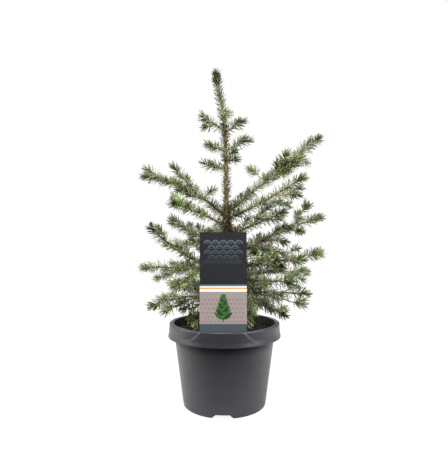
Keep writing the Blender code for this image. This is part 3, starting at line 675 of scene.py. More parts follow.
def free_part(points, owner, order, shoots, limbs, named):
    """The start of a twig up to where it comes near another shoot, a limb or the pot."""
    beyond = points[2:]
    free = limbs.gaps(beyond, owner) > LIMB_APART
    if not named:
        free &= shoots.gaps(beyond, owner) > TWIG_RULES[order]["apart"]
    free &= clear_of_pot(beyond, TWIG_MARGIN)
    count = len(points) if free.all() else 2 + int(np.argmin(free))
    return points[:count] if count >= 4 else None


def grow():
    """Every shoot of the plant: boughs, then twigs, then twigs of twigs."""
    limbs, shoots, grown = Segments(), Segments(), []
    trunk = np.array([(x, 0, TRUNK_FOOT + over) for over, x, _ in TRUNK_STATIONS])
    limbs.add(TRUNK_OWNER, trunk, np.array(TRUNK_STATIONS)[:, 2])
    stems = []
    for owner, bough in enumerate(BOUGHS + TRUNK_SHOOTS):
        rng = random.Random(bough.seed)
        points = resampled(bough_points(bough, 0, 1, 40), PATH_STEP)
        points = wavering(points, rng, BOUGH_SWAY)
        share = np.linspace(0, 1, len(points))
        collar = COLLAR * bough.radius * np.exp(-share / COLLAR_SHARE)
        radii = bough.radius + (BOUGH_END_RADIUS - bough.radius) * share**0.8 + collar
        fresh = NEW_SHOOTS.get((bough.name, 0), 0)
        grown.append(Shoot(bough, 0, points, radii, bough.seed, fresh))
        bare = round(bough.bare * len(points))
        limbs.add(owner, points[: bare + 2], radii[: bare + 2])
        shoots.add(owner, points, radii)
        if not fresh:
            stems.append((owner, bough, points[bare:], rng))
    number = len(BOUGHS + TRUNK_SHOOTS)
    for order in (1, 2):
        later = []
        for owner, bough, stem, rng in stems:
            named = list(named_twigs(bough)) if order == 1 else []
            others = [(twig, 0) for twig in rule_twigs(bough, order, stem, rng)]
            for count, (twig, fresh) in enumerate([*named, *others]):
                twig = free_part(twig, owner, order, shoots, limbs, count < len(named))
                if twig is None:
                    continue
                twig = wavering(resampled(twig, PATH_STEP), rng, TWIG_SWAY)
                radii = np.linspace(*TWIG_RADII[order], len(twig))
                grown.append(Shoot(bough, order, twig, radii, rng.randrange(10**6), fresh))
                shoots.add(number, twig, radii)
                later.append((number, bough, twig, rng))
                number += 1
        stems = [row for row in later if lengths_along(row[2])[-1] > LEAST_STEM]
    return grown, limbs


# Needles.

Needles = namedtuple("Needles", "foot way top length width colour")


def seen_at(points):
    """Where points are seen from the front: across and height at the trunk."""
    share = EYE[1] / (EYE[1] - points[:, 1])
    across = EYE[0] + share * (points[:, 0] - EYE[0])
    return across, EYE[2] + share * (points[:, 2] - EYE[2])


def from_spots(points, spots):
    """How far each point is from the nearest of the spots, as seen from the front."""
    across, height = seen_at(points)
    return np.min([np.hypot(across - x, height - z) for x, z in spots], axis=0)


def leaning(forward, out, splay):
    """The ways that lean from forward to out by their splay."""
    return np.cos(splay)[:, None] * forward + np.sin(splay)[:, None] * out


def square_to(way, vectors):
    """The vectors made square to the ways."""
    return unit(vectors - (vectors * way).sum(1, keepdims=True) * way)


def spray_colours(shoot, foot, from_tip, rng):
    """The colour of each needle, dealt out by its spray: what share of each colour the spray's
    older part and its end have, and darker where the crown shades it."""
    count, colours = len(foot), len(COLOUR_NAMES)
    hanging = tier(shoot.bough) == "front"
    pale = hanging or shoot.bough.name in PALE
    weights = rng.dirichlet(PALE_SPRAY if pale else OLD_SPRAY)
    leads = shoot.order == 0 or len(shoot.points) > 14 and not pale
    end = rng.dirichlet(LEADING_END if leads and not hanging else SIDE_END)
    if shoot.fresh:
        weights = end = rng.dirichlet(NEW_SPRAY)
    inner = SHADED_RADIUS - np.hypot(foot[:, 0], foot[:, 1])
    inner = np.clip(inner / SHADED_RADIUS_FADE, 0, 1)
    inner *= np.clip((SHADED_TOP - foot[:, 2]) / SHADED_TOP_FADE, 0, 1)
    inner *= np.clip((foot[:, 2] - SHADED_FOOT) / SHADED_FOOT_FADE, 0, 1)
    shaded = rng.random(count) < (0 if shoot.fresh else SHADED_SHARE) * inner
    is_end = rng.random(count) < np.clip(1.5 - from_tip / TUFT, 0, 1)
    old = rng.choice(colours, count, p=weights)
    if shoot.order == 0 and shoot.bough.bare:
        on_comb = from_tip > (1 - shoot.bough.bare) * lengths_along(shoot.points)[-1]
        old = np.where(on_comb, rng.choice(colours, count, p=COMB_WEIGHTS), old)
    old = np.where(shaded, DARK, old)
    young = rng.choice(colours, count, p=end)
    near = FRESH_SHARE - FRESH_FADE * from_spots(foot, FRESH_TIPS) / FRESH_REACH
    fresh = (rng.random(count) < near) & (foot[:, 1] < FRESH_BACK)
    return np.where(fresh, BRIGHT, np.where(is_end, young, old))


def places_along(shoot, length, rng):
    """How far along a shoot its needles stand, and how many of them stand there in any case. The
    rest only fill the crown near the trunk."""
    first = shoot.fresh * length if shoot.fresh else FIRST_NEEDLE[shoot.order]
    count = int(DENSER.get(shoot.bough.name, 1) * NEEDLES_A_METRE[shoot.order] * (length - first))
    where = np.linspace(first, length, count, endpoint=False)
    leads = shoot.order == 0 and shoot.bough.bare
    if leads:
        comb = shoot.bough.bare * length
        where = np.append(where, np.linspace(first, comb, int(NEEDLES_ON_COMB * comb)))
    more = int(TUFT_MORE * NEEDLES_A_METRE[1] * min(TUFT, length))
    where = np.append(where, length - TUFT * rng.random(more) ** TUFT_CLOSING)
    if leads:
        where = np.append(where, length - LEADING_TUFT * rng.random(LEADING_TUFT_NEEDLES))
    usual = len(where)
    more = int(INNER_MORE.get(shoot.bough.name, 0) * count)
    where = np.append(where, rng.uniform(first, length, more))
    return np.clip(where + rng.normal(0, NEEDLE_SHIFT, len(where)), first, length), usual


def needles_of(shoot):
    """The needles of one shoot, in a spiral that leans forward and closes up at its end."""
    rng = np.random.default_rng(shoot.seed)
    steps = lengths_along(shoot.points)
    where, usual = places_along(shoot, steps[-1], rng)
    count, from_tip = len(where), steps[-1] - where
    nearest = np.clip(np.searchsorted(steps, where), 0, len(steps) - 1)
    forward, left, up = (vectors[nearest] for vectors in path_frames(shoot.points))
    turn = GOLDEN_TURN * np.arange(count) + rng.normal(0, TURN_SPREAD, count)
    sideways, upward = np.cos(turn), np.sin(turn)
    upward = np.where(upward < 0, 0.8 * upward, upward) + 0.12
    out = unit(sideways[:, None] * left + upward[:, None] * up)
    old = OLD_SPLAY if shoot.order == 0 else SPLAY
    splay = TUFT_SPLAY + (old - TUFT_SPLAY) * np.clip(from_tip / TUFT, 0, 1)
    splay += rng.normal(0, SPLAY_SPREAD, count)
    way = leaning(forward, out, splay)
    way = unit(way + rng.normal(0, WAY_SPREAD, way.shape))
    radius = np.interp(where, steps, shoot.radii)
    foot = along(shoot.points, where) + FOOT_IN_BARK * radius[:, None] * out
    top = square_to(way, np.array([0, 0, 1]) + 0.9 * out + rng.normal(0, TOP_SPREAD, out.shape))
    denser = DENSER.get(shoot.bough.name, 1)
    size = NEEDLE * (0.8 + 0.2 * denser) * rng.uniform(*LENGTH_SPREAD, count)
    size *= np.interp(where, *SHORT_START)
    if shoot.order == 0:
        size *= np.interp(from_tip, *SHORT_OLD)
    width = NEEDLE_WIDTH * rng.uniform(*WIDTH_SPREAD, count)
    made = Needles(foot, way, top, size, width, spray_colours(shoot, foot, from_tip, rng))
    inner = np.hypot(foot[:, 0], foot[:, 1]) < INNER_RADIUS
    kept = rng.random(count) < OUTER_SHARE.get(shoot.bough.name, 1)
    outer = ~inner & kept | (from_tip < TUFT)
    return chosen(made, np.where(np.arange(count) < usual, inner | outer, inner))


def leader_needles():
    """Short needles up the leader: few on its older part, close and pressed to it near its end."""
    rng = np.random.default_rng(7)
    heights = np.linspace(LEADER_FOOT, LEADER_END, LEADER_NEEDLES)
    heights = heights[rng.random(LEADER_NEEDLES) < np.interp(heights, *LEADER_KEPT)]
    heights = np.append(heights, LEADER_END - LEADER_TUFT * rng.random(LEADER_TUFT_NEEDLES))
    count = len(heights)
    ends = [trunk_at(height) for height in np.linspace(LEADER_FOOT, TRUNK_END, 60)]
    ahead = unit(ends[-1] - ends[-3])
    line = np.array([*ends, ends[-1] + (LEADER_END - TRUNK_END) / ahead[2] * ahead])
    middle = np.stack([np.interp(heights, line[:, 2], line[:, axis]) for axis in range(3)], -1)
    forward = unit(np.gradient(line, axis=0))
    forward = forward[np.clip(np.searchsorted(line[:, 2], heights), 0, len(line) - 1)]
    left = unit(np.cross([0, 1, 0], forward))
    up = np.cross(forward, left)
    turn = GOLDEN_TURN * np.arange(count) + rng.normal(0, 0.3, count)
    out = leaning(left, up, turn)
    splay = np.radians(np.interp(heights, *LEADER_SPLAY) + rng.normal(0, 7, count))
    way = leaning(forward, out, splay)
    foot = middle + FOOT_IN_BARK * trunk_radius(heights)[:, None] * out
    size = np.interp(heights, *LEADER_LENGTHS) * rng.uniform(0.8, 1.1, count)
    width = NEEDLE_WIDTH * rng.uniform(0.85, 1.1, count)
    young = rng.random(count) < np.clip((heights - LEADER_TIP_FOOT) / LEADER_TIP_FADE, 0, 1)
    colour = [rng.choice(len(w), count, p=w) for w in (LEADER_TIP_WEIGHTS, LEADER_WEIGHTS)]
    return Needles(foot, way, square_to(way, out), size, width, np.where(young, *colour))


def trunk_stubs():
    """The stubs of old needles on the trunk, which make its outline rough."""
    rng = np.random.default_rng(9)
    heights = rng.uniform(*STUB_HEIGHTS, STUBS)
    heights = np.append(heights, rng.uniform(*LOW_STUB_HEIGHTS, LOW_STUBS))
    count = len(heights)
    middle = np.array([trunk_at(height) for height in heights])
    turn = GOLDEN_TURN * np.arange(count) + rng.normal(0, 0.5, count)
    out = np.stack([np.cos(turn), np.sin(turn), 0 * turn], -1)
    way = leaning(np.array([0, 0, 1]), out, np.radians(rng.uniform(35, 80, count)))
    foot = middle + 0.85 * trunk_radius(heights)[:, None] * out
    size = rng.uniform(*STUB_LENGTHS, count)
    size[STUBS:] *= rng.uniform(*LOW_STUBS_LONGER, LOW_STUBS)
    width = rng.uniform(*STUB_WIDTHS, count)
    return Needles(foot, way, square_to(way, out), size, width, np.zeros(count, int))


def joined(groups):
    return Needles(*(np.concatenate(columns) for columns in zip(*groups, strict=True)))


def chosen(needles, keep):
    return Needles(*(column[keep] for column in needles))


def up_needles(needles, share):
    """The point of each needle at this share of its length."""
    return needles.foot + share * needles.length[:, None] * needles.way


def room_for(needles, limbs):
    """Which needles keep clear of the pot, the card and the limbs."""
    tips = up_needles(needles, 1)
    before, beyond = needles.foot[:, 1] - CARD_Y, tips[:, 1] - CARD_Y
    share = np.clip(before / np.where(before == beyond, 1, before - beyond), 0, 1)[:, None]
    crossing = needles.foot + share * (tips - needles.foot)
    at_card = abs(crossing[:, 0] - CARD_X) < CARD_WIDTH / 2 + CARD_MARGIN
    at_card &= crossing[:, 2] < CARD_TOP + CARD_MARGIN
    free = ~((before * beyond <= 0) & at_card)
    for share in (0.2, 0.35, 0.5, 0.7, 0.85, 1.0):
        points = up_needles(needles, share)
        free &= clear_of_pot(points, NEEDLE_MARGIN)
        if share not in (0.7, 1.0):
            continue
        for block in np.array_split(np.arange(len(points)), 40):
            free[block] &= limbs.gaps(points[block]) > LIMB_MARGIN
    return free


def hides_new_stem(needles, grown):
    """Which needles hang in front of the bare part of a new stem, as seen from the front."""
    hides = np.zeros(len(needles.foot), bool)
    for shoot in (shoot for shoot in grown if shoot.fresh):
        bare = shoot.points[: round(shoot.fresh * len(shoot.points))]
        spots = np.stack(seen_at(bare), -1)
        for share in (0.0, 0.25, 0.5, 0.75, 1.0):
            points = up_needles(needles, share)
            across, height = seen_at(points)
            away = np.hypot(across[:, None] - spots[:, 0], height[:, None] - spots[:, 1])
            in_front = points[:, 1] < bare[away.argmin(1), 1] - 0.0005
            hides |= (away.min(1) < STEM_IN_SIGHT) & in_front
    return hides


def needle_mesh(needles, name, finishes):
    """One mesh of all these needles: each a slim blade with a ridge on top and a flat underside."""
    side = unit(np.cross(needles.way, needles.top))
    bend = NEEDLE_BEND * needles.length * (1 + 0.5 * np.sin(np.arange(len(needles.foot))))
    columns = []
    for t, share in zip(NEEDLE_STATIONS, NEEDLE_SHAPE, strict=True):
        lift = bend * (t**2 - t) * 2
        middle = up_needles(needles, t) + lift[:, None] * needles.top
        across = (share * needles.width / 2)[:, None] * side
        thick = share * NEEDLE_THICK * needles.top
        if share:
            columns += [middle - across, middle + across, middle + thick]
        else:
            columns.append(middle)
    points = np.stack(columns, axis=1)
    tops, unders = [], [(0, 1, 2)]
    sides = ((0, 1, unders), (1, 2, tops), (2, 0, tops))
    for low in (0, 3):
        high = low + 3
        for a, b, faces in sides:
            faces += [(low + b, low + a, high + a), (low + b, high + a, high + b)]
    for a, b, faces in sides:
        faces.append((6 + b, 6 + a, 9))
    template = np.array(tops + unders)
    slots = np.array([0] * len(tops) + [1] * len(unders))
    offsets = points.shape[1] * np.arange(len(points))[:, None, None]
    mesh = Mesh()
    mesh.add(points, (template + offsets).reshape(-1, 3), np.tile(slots, len(points)))
    return mesh.build(name, finishes, smooth=False)


# Bark.


def bark_tube(mesh, points, radii, seed, sides, relief, pegs):
    """A limb with the relief of its bark: long low ridges, fine scales and the pegs of needles."""
    _, left, up = path_frames(points)
    run = lengths_along(points)
    angles = math.tau * np.arange(sides) / sides
    out = np.cos(angles)[None, :, None] * left[:, None] + np.sin(angles)[None, :, None] * up[:, None]
    swell = np.zeros((len(points), sides))
    for i, distance in enumerate(run):
        for j, angle in enumerate(angles):
            around = Vector((1.6 * math.cos(angle), 1.6 * math.sin(angle), 60 * distance + seed))
            fine = Vector((4 * math.cos(angle), 4 * math.sin(angle), 420 * distance + seed))
            swell[i, j] = noise.noise(around) + 0.6 * noise.noise(fine)
    spiral = run[:, None] / PEG_STEP * GOLDEN_TURN - angles[None, :]
    swell = relief * swell + pegs * np.maximum(0, np.cos(spiral)) ** 3
    size = radii[:, None] * (1 + swell)
    rings = points[:, None] + size[..., None] * out
    mesh.add(rings, grid_faces(len(points), sides)[:, ::-1])
    end = points[-1] + 0.5 * radii[-1] * unit(points[-1] - points[-2])
    mesh.add(np.vstack([rings[-1], end]), [(j, (j + 1) % sides, sides) for j in range(sides)])


def trunk_line(step):
    over, sideways, radii = np.array(TRUNK_STATIONS).T
    heights = np.arange(0, over[-1] + step / 2, step)
    x, radius = np.interp(heights, over, sideways), np.interp(heights, over, radii)
    smooth = np.ones(5) / 5
    x[2:-2], radius[2:-2] = np.convolve(x, smooth, "valid"), np.convolve(radius, smooth, "valid")
    return np.stack([x, 0 * x, TRUNK_FOOT + heights], axis=1), radius


def finer(shoot, step):
    """The path and radii of a shoot at shorter steps."""
    points = resampled(shoot.points, step)
    share = np.linspace(0, 1, len(points))
    return points, np.interp(share, np.linspace(0, 1, len(shoot.radii)), shoot.radii)


def make_limbs(grown, finish):
    """The trunk and the boughs, whose bark has real relief."""
    mesh = Mesh()
    points, radii = trunk_line(BARK_STEPS["trunk"])
    for bough in BOUGHS:
        away = (points[:, 2] - bough.leaves) / SWELL_REACH
        radii = radii * (1 + SWELL_AT_BOUGH * np.exp(-(away**2)))
    bark_tube(mesh, points, radii, 3.1, **BARK["trunk"])
    for shoot in grown:
        if shoot.order == 0 and shoot.bough.bare:
            bark_tube(mesh, *finer(shoot, BARK_STEPS["bough"]), shoot.seed, **BARK["bough"])
    return mesh.build("trunk_and_boughs", [finish])


def make_twigs(grown, finish, name, fresh):
    """The shoots that aren't boughs: either this year's or all the others."""
    mesh = Mesh()
    for shoot in grown:
        is_bough = shoot.order == 0 and shoot.bough.bare
        if bool(shoot.fresh) == fresh and not is_bough:
            bark_tube(mesh, *finer(shoot, BARK_STEPS["twig"]), shoot.seed % 97, **BARK["twig"])
    return mesh.build(name, [finish])


def make_buds(grown, finish):
    """A small scaly bud at the end of each shoot."""
    mesh = Mesh()
    for shoot in grown:
        way = unit(shoot.points[-1] - shoot.points[-2])
        size = BUD_LENGTHS[min(shoot.order, 1)]
        points = shoot.points[-1] + np.array([(t - 0.2) * size * way for t, _ in BUD_SHAPE])
        radii = np.array([BUD_HALF_WIDTH * size * share for _, share in BUD_SHAPE])
        bark_tube(mesh, points, radii, shoot.seed % 53, **BARK["bud"])
    return mesh.build("buds", [finish])


# Materials.


def wire(tree, target, inputs):
    """Gives each of these inputs of a node its plain value, or the socket that feeds it."""
    for key, value in inputs.items():
        if isinstance(value, bpy.types.NodeSocket):
            tree.links.new(value, target.inputs[key])
        else:
            target.inputs[key].default_value = value
    return target


def node(tree, kind, inputs, **settings):
    added = tree.nodes.new(kind)
    for key, value in settings.items():
        setattr(added, key, value)
    return wire(tree, added, inputs)


def calculated(tree, operation, first, second):
    sums = node(tree, "ShaderNodeMath", {0: first, 1: second}, operation=operation)
    return sums.outputs["Value"]


def gradual(tree, value, low, high, first=0.0, last=1.0):
    """Goes smoothly from first to last as the value goes from low to high."""
    inputs = {"Value": value, "From Min": low, "From Max": high, "To Min": first, "To Max": last}
    return node(tree, "ShaderNodeMapRange", inputs, interpolation_type="SMOOTHSTEP").outputs["Result"]


def place_in(tree, kind="Object"):
    """The place that is shaded, in the object's own metres."""
    return node(tree, "ShaderNodeTexCoord", {}).outputs[kind]


def axis_of(tree, place, axis):
    return node(tree, "ShaderNodeSeparateXYZ", {"Vector": place}).outputs[axis]


def set_shader(made, inputs):
    wire(made.node_tree, made.node_tree.nodes["Principled BSDF"], inputs)


def material(name, colour, roughness, specular=0.5):
    made = bpy.data.materials.new(name)
    made.use_nodes = True
    plain = {"Base Color": (*colour, 1), "Roughness": roughness, "Specular IOR Level": specular}
    set_shader(made, plain)
    return made


def noise_of(made, scale, detail=4.0, stretch=(1, 1, 1)):
    """A noise pattern in the object's own metres."""
    tree = made.node_tree
    mapping = node(tree, "ShaderNodeMapping", {"Vector": place_in(tree), "Scale": stretch})
    inputs = {"Vector": mapping.outputs["Vector"], "Scale": scale, "Detail": detail}
    return node(tree, "ShaderNodeTexNoise", inputs).outputs["Fac"]


def ramp(made, source, stops):
    """A colour ramp, from (position, colour) stops. A colour may be one number, for a grey."""
    added = node(made.node_tree, "ShaderNodeValToRGB", {"Fac": source})
    while len(added.color_ramp.elements) < len(stops):
        added.color_ramp.elements.new(0.5)
    for element, (position, colour) in zip(added.color_ramp.elements, stops, strict=True):
        element.position = position
        element.color = (*np.broadcast_to(colour, 3), 1)
    return added.outputs["Color"]


def bump(made, height, distance, strength=1.0):
    inputs = {"Height": height, "Distance": distance, "Strength": strength}
    raised = node(made.node_tree, "ShaderNodeBump", inputs)
    set_shader(made, {"Normal": raised.outputs["Normal"]})


def rough_material(name, dark, light, scale, old=None):
    """Bark and the like, in flakes of two colours. With old, a pair of colours too, it turns to
    those towards the ground."""
    made = material(name, light, 0.82, 0.35)
    pattern = noise_of(made, scale, 6, (1, 1, 0.35))
    colour = ramp(made, pattern, ((0.36, dark), (0.64, light)))
    if old:
        tree = made.node_tree
        low, high = OLD_BARK_TOP
        height = {"Value": axis_of(tree, place_in(tree), "Z"), "From Min": low, "From Max": high}
        share = node(tree, "ShaderNodeMapRange", height).outputs["Result"]
        lower = ramp(made, pattern, ((0.36, old[0]), (0.64, old[1])))
        inputs = {"Factor": share, "A": lower, "B": colour}
        colour = node(tree, "ShaderNodeMix", inputs, data_type="RGBA").outputs["Result"]
    set_shader(made, {"Base Color": colour})
    bump(made, noise_of(made, 6 * scale, 5, (1, 1, 0.5)), 0.0004, 0.8)
    return made


def waxy_material(name, colour, roughness, scale, detail, glosses):
    """One plain colour, with a gloss that varies a little from place to place."""
    made = material(name, colour, roughness, 0.45)
    gloss = ramp(made, noise_of(made, scale, detail), ((0.3, glosses[0]), (0.7, glosses[1])))
    set_shader(made, {"Roughness": gloss})
    return made


def needle_material(name, colour, roughness):
    return waxy_material(name, colour, roughness, 180, 4, (roughness - 0.08, roughness + 0.1))


def pot_material():
    """Charcoal moulded plastic: a satin skin with a faint orange peel, dust and rub marks, and painted
    shade that darkens its colour and sheen close under the skirt and inside the rim over the soil."""
    made = material("pot_moulded", (0.016, 0.017, 0.020), 0.38, 0.5)
    tree = made.node_tree
    place = place_in(tree)
    height = axis_of(tree, place, "Z")
    # Painted shade: colour and sheen fall to 0.36 close under the skirt and inside the rim, and stay full
    # on the skirt's outside.
    below = gradual(tree, height, 0.095, 0.1125, 1.0, 0.36)
    above = calculated(tree, "GREATER_THAN", height, SKIRT_FOOT_HEIGHT - 0.0002)
    flat = node(tree, "ShaderNodeVectorMath", {0: place, 1: (1, 1, 0)}, operation="MULTIPLY")
    radius = node(tree, "ShaderNodeVectorMath", {0: flat.outputs["Vector"]}, operation="LENGTH")
    radius = radius.outputs["Value"]
    outside = gradual(tree, radius, RIM_INNER_RADIUS - 0.0007, RIM_INNER_RADIUS + 0.0002)
    lit = calculated(tree, "MAXIMUM", below, calculated(tree, "MULTIPLY", above, outside))
    dust = ((0.3, (0.020, 0.021, 0.0243)), (0.75, (0.0245, 0.0257, 0.0300)))
    inputs = {0: ramp(made, noise_of(made, 22, 5), dust), "Scale": lit}
    colour = node(tree, "ShaderNodeVectorMath", inputs, operation="SCALE").outputs["Vector"]
    rubbed = ramp(made, noise_of(made, 60, 6, (1, 1, 3)), ((0.3, 0.33), (0.75, 0.46)))
    # The sheen, dimmed by the same painted shade.
    gloss = calculated(tree, "MULTIPLY", lit, 0.5)
    set_shader(made, {"Base Color": colour, "Specular IOR Level": gloss, "Roughness": rubbed})
    bump(made, noise_of(made, 900, 2), 0.00012, 0.35)
    return made


def soil_material():
    made = material("peat", (0.02, 0.013, 0.009), 0.95, 0.2)
    damp = ((0.32, (0.006, 0.004, 0.003)), (0.52, (0.022, 0.014, 0.009)), (0.70, (0.060, 0.038, 0.022)))
    set_shader(made, {"Base Color": ramp(made, noise_of(made, 260, 6), damp)})
    bump(made, noise_of(made, 700, 5), 0.0006, 1.0)
    return made


# The pot.


def rounded(corners, steps=5):
    """A closed outline of (across, height, round) corners, each rounded by that radius."""
    made = []
    for i, (x, y, radius) in enumerate(corners):
        here = np.array([x, y])
        if not radius:
            made.append(here)
            continue
        before = unit(np.array(corners[i - 1][:2]) - here)
        after = unit(np.array(corners[(i + 1) % len(corners)][:2]) - here)
        half = math.acos(np.clip(before @ after, -1, 1)) / 2
        reach = radius / math.tan(half)
        a, b = here + reach * before, here + reach * after
        made += [(1 - t) ** 2 * a + 2 * t * (1 - t) * here + t**2 * b for t in np.linspace(0, 1, steps)]
    return np.array(made)


def pot_profile():
    """The pot's wall as a closed outline of (radius, height), with its rim and skirt."""
    outline = rounded((
        (0.0, 0.0, 0),
        (CENTRE_FOOT_RADIUS, 0.0, 0.0004),
        (CENTRE_FOOT_RADIUS + CENTRE_FOOT_DRAFT, FLOOR_HEIGHT, 0.0006),
        (FOOT_RADIUS - 2.5 * WALL, FLOOR_HEIGHT, 0.0006),
        (FOOT_RADIUS - 2 * WALL, 0.0, 0.0004),
        (FOOT_RADIUS + 0.2 * FOOT_ROUND, 0.0, FOOT_ROUND),
        (SHOULDER_RADIUS, SHOULDER_HEIGHT, 0.004),
        (RIM_INNER_RADIUS + 0.2 * WALL, POT_HEIGHT - 2.2 * WALL, 0.0006),
        (RIM_TOP_RADIUS - 0.6 * WALL, POT_HEIGHT - 2.6 * WALL, 0.0006),
        (SKIRT_RADIUS - SKIRT_LIP, SKIRT_FOOT_HEIGHT, 0.0001),
        (SKIRT_RADIUS, SKIRT_FOOT_HEIGHT, 0.0010),
        (SKIRT_RADIUS - SKIRT_FLARE, SKIRT_FOOT_HEIGHT + SKIRT_FLARE_HEIGHT, 0.0300),
        (RIM_TOP_RADIUS + 0.0036, POT_HEIGHT, 0.0016),
        (RIM_INNER_RADIUS, POT_HEIGHT, 0.0008),
        (SHOULDER_RADIUS - WALL, SHOULDER_HEIGHT, 0.004),
        (FOOT_RADIUS + FLOOR_ROUND - WALL, FLOOR_HEIGHT + WALL, 0.002),
        (0.0, FLOOR_HEIGHT + WALL, 0),
    ))
    fine = []
    for (r0, z0), (r1, z1) in zip(outline, outline[1:], strict=False):
        on_skirt = min(r0, r1) > RIM_TOP_RADIUS and abs(z1 - z0) > 0.01
        count = 28 if on_skirt else max(1, round(math.hypot(r1 - r0, z1 - z0) / 0.012))
        for t in np.arange(count) / count:
            fine.append((r0 + t * (r1 - r0), z0 + t * (z1 - z0)))
    return np.array([*fine, outline[-1]])


def panel_depth(turn, height):
    """How deep the skirt's recessed panels are at a place. They narrow towards their foot."""
    pitch = math.tau / PANELS
    beside = (turn - NOTCH_TURN) % pitch - pitch / 2
    rise = (height - PANEL_FOOT) / (POT_HEIGHT - PANEL_FOOT)
    half = PANEL_FOOT_HALF_TURN + rise * (PANEL_TOP_HALF_TURN - PANEL_FOOT_HALF_TURN)
    across = SKIRT_RADIUS * (abs(beside) - half) + PANEL_CORNER
    down = PANEL_FOOT + PANEL_CORNER - height
    outside = math.hypot(max(across, 0), max(down, 0)) + min(max(across, down), 0) - PANEL_CORNER
    share = min(1, max(0, 0.5 - outside / PANEL_EDGE))
    depth = PANEL_FOOT_DEPTH + rise * (PANEL_TOP_DEPTH - PANEL_FOOT_DEPTH)
    return depth * share * share * (3 - 2 * share)


def pot_cutter():
    """The notches in the foot and the drain holes in the floor."""
    bm = bmesh.new()
    half_top, half_foot = NOTCH_TOP_WIDTH / 2, NOTCH_FOOT_WIDTH / 2
    notch = rounded((
        (-half_foot - 0.004, -BEYOND, 0),
        (-half_foot - 0.0005, 0.0, 0.002),
        (-half_top, NOTCH_HEIGHT, 0.002),
        (half_top, NOTCH_HEIGHT, 0.002),
        (half_foot + 0.0005, 0.0, 0.002),
        (half_foot + 0.004, -BEYOND, 0),
    ))
    for i in range(NOTCHES):
        turn = NOTCH_TURN + math.tau * i / NOTCHES
        out = Vector((math.cos(turn), math.sin(turn), 0))
        across = Vector((-math.sin(turn), math.cos(turn), 0))

        def beside(a, h, depth, out=out, across=across):
            return across * a + out * depth + Vector((0, 0, h))

        prism(bm, notch, beside, NOTCH_INNER_RADIUS, NOTCH_OUTER_RADIUS)
    turns = np.linspace(0, math.tau, DRAIN_SIDES, endpoint=False)
    drain = DRAIN_RADIUS * np.stack([np.cos(turns), np.sin(turns)], -1)
    for i in range(DRAINS):
        turn = NOTCH_TURN + math.tau * (i + 0.5) / DRAINS
        middle = DRAIN_CIRCLE * Vector((math.cos(turn), math.sin(turn), 0))

        def at_drain(a, b, depth, middle=middle):
            return middle + Vector((a, b, depth))

        prism(bm, drain, at_drain, FLOOR_HEIGHT - BEYOND, FLOOR_HEIGHT + WALL + BEYOND)
    bmesh.ops.recalc_face_normals(bm, faces=bm.faces[:])
    return from_bmesh("pot_cutter", bm, [])


def make_pot(finish, inside):
    profile = pot_profile()
    rings = []
    turns = np.linspace(0, math.tau, POT_SIDES, endpoint=False)
    for radius, height in profile[1:-1]:
        on_skirt = radius > RIM_TOP_RADIUS + 0.0006 and height > SKIRT_FOOT_HEIGHT + 0.0008
        for turn in turns:
            size = radius - (panel_depth(turn, height) if on_skirt else 0)
            rings.append((size * math.cos(turn), size * math.sin(turn), height))
    middles = [(0, 0, profile[0][1]), (0, 0, profile[-1][1])]
    count, rows = len(rings), len(profile) - 2
    top = count - POT_SIDES
    after = [(j, (j + 1) % POT_SIDES) for j in range(POT_SIDES)]
    under = [(a, count, b) for a, b in after]
    over = [(top + a, top + b, count + 1) for a, b in after]
    mesh = Mesh()
    mesh.add(rings + middles, np.vstack([grid_faces(rows, POT_SIDES), under, over]))
    pot = mesh.build("pot_shell", [finish, inside])
    cutter = pot_cutter()
    cut = pot.modifiers.new("cut", "BOOLEAN")
    cut.operation, cut.solver, cut.object = "DIFFERENCE", "EXACT", cutter
    graph = bpy.context.evaluated_depsgraph_get()
    pot.data = bpy.data.meshes.new_from_object(pot.evaluated_get(graph))
    pot.modifiers.clear()
    bpy.data.objects.remove(cutter)
    pot.data.shade_smooth()
    pot.data.set_sharp_from_angle(angle=math.radians(38))
    # Painted shade: the wall's inward faces, from the floor to near the rim, take the near-black finish.
    for face in pot.data.polygons:
        middle = face.center
        inward = face.normal.x * middle.x + face.normal.y * middle.y < 0
        face.material_index = int(inward and FLOOR_HEIGHT + WALL < middle.z < POT_HEIGHT - 0.0022)
    return pot


# The soil.


def soil_height(x, y):
    """The soil's surface: a low crown, with lumps of peat on it."""
    radius = math.hypot(x, y)
    spread = min(1, max(0, (radius - SOIL_FLAT_RADIUS) / (RIM_INNER_RADIUS - SOIL_FLAT_RADIUS)))
    level = SOIL_TOP_HEIGHT - spread * (SOIL_TOP_HEIGHT - SOIL_EDGE_HEIGHT)
    level -= SOIL_SETTLED
    for scale, layer, size in SOIL_RELIEF:
        level += size * noise.noise(Vector((scale * x, scale * y, layer)))
    return level


def crumb(mesh, rng, x, y, size, flat, slot):
    """One lump, chip or fibre that lies on the soil."""
    turn = rng.uniform(0, math.tau)
    tilt = rng.uniform(-0.35, 0.35)
    corners, sides = [], 6
    shape = ((-0.5, 0.55), (-0.2, 1.0), (0.25, 0.9), (0.5, 0.4))
    for t, share in shape:
        for j in range(sides):
            angle, reach = math.tau * j / sides, share * flat * rng.uniform(0.75, 1.15)
            corners.append((t * 2, reach * math.cos(angle), reach * math.sin(angle) * 0.6))
    points = np.array(corners) * size
    cos, sin = math.cos(turn), math.sin(turn)
    lean = np.array([[math.cos(tilt), 0, -math.sin(tilt)], [0, 1, 0], [math.sin(tilt), 0, math.cos(tilt)]])
    spin = np.array([[cos, -sin, 0], [sin, cos, 0], [0, 0, 1]])
    points = points @ lean.T @ spin.T + np.array([x, y, soil_height(x, y) + 0.25 * size * flat])
    faces = grid_faces(len(shape), sides).tolist()
    low, high = 0, (len(shape) - 1) * sides
    faces += [(low, low + j + 1, low + j) for j in range(1, sides - 1)]
    faces += [(high, high + j, high + j + 1) for j in range(1, sides - 1)]
    mesh.add(points, faces, slot)


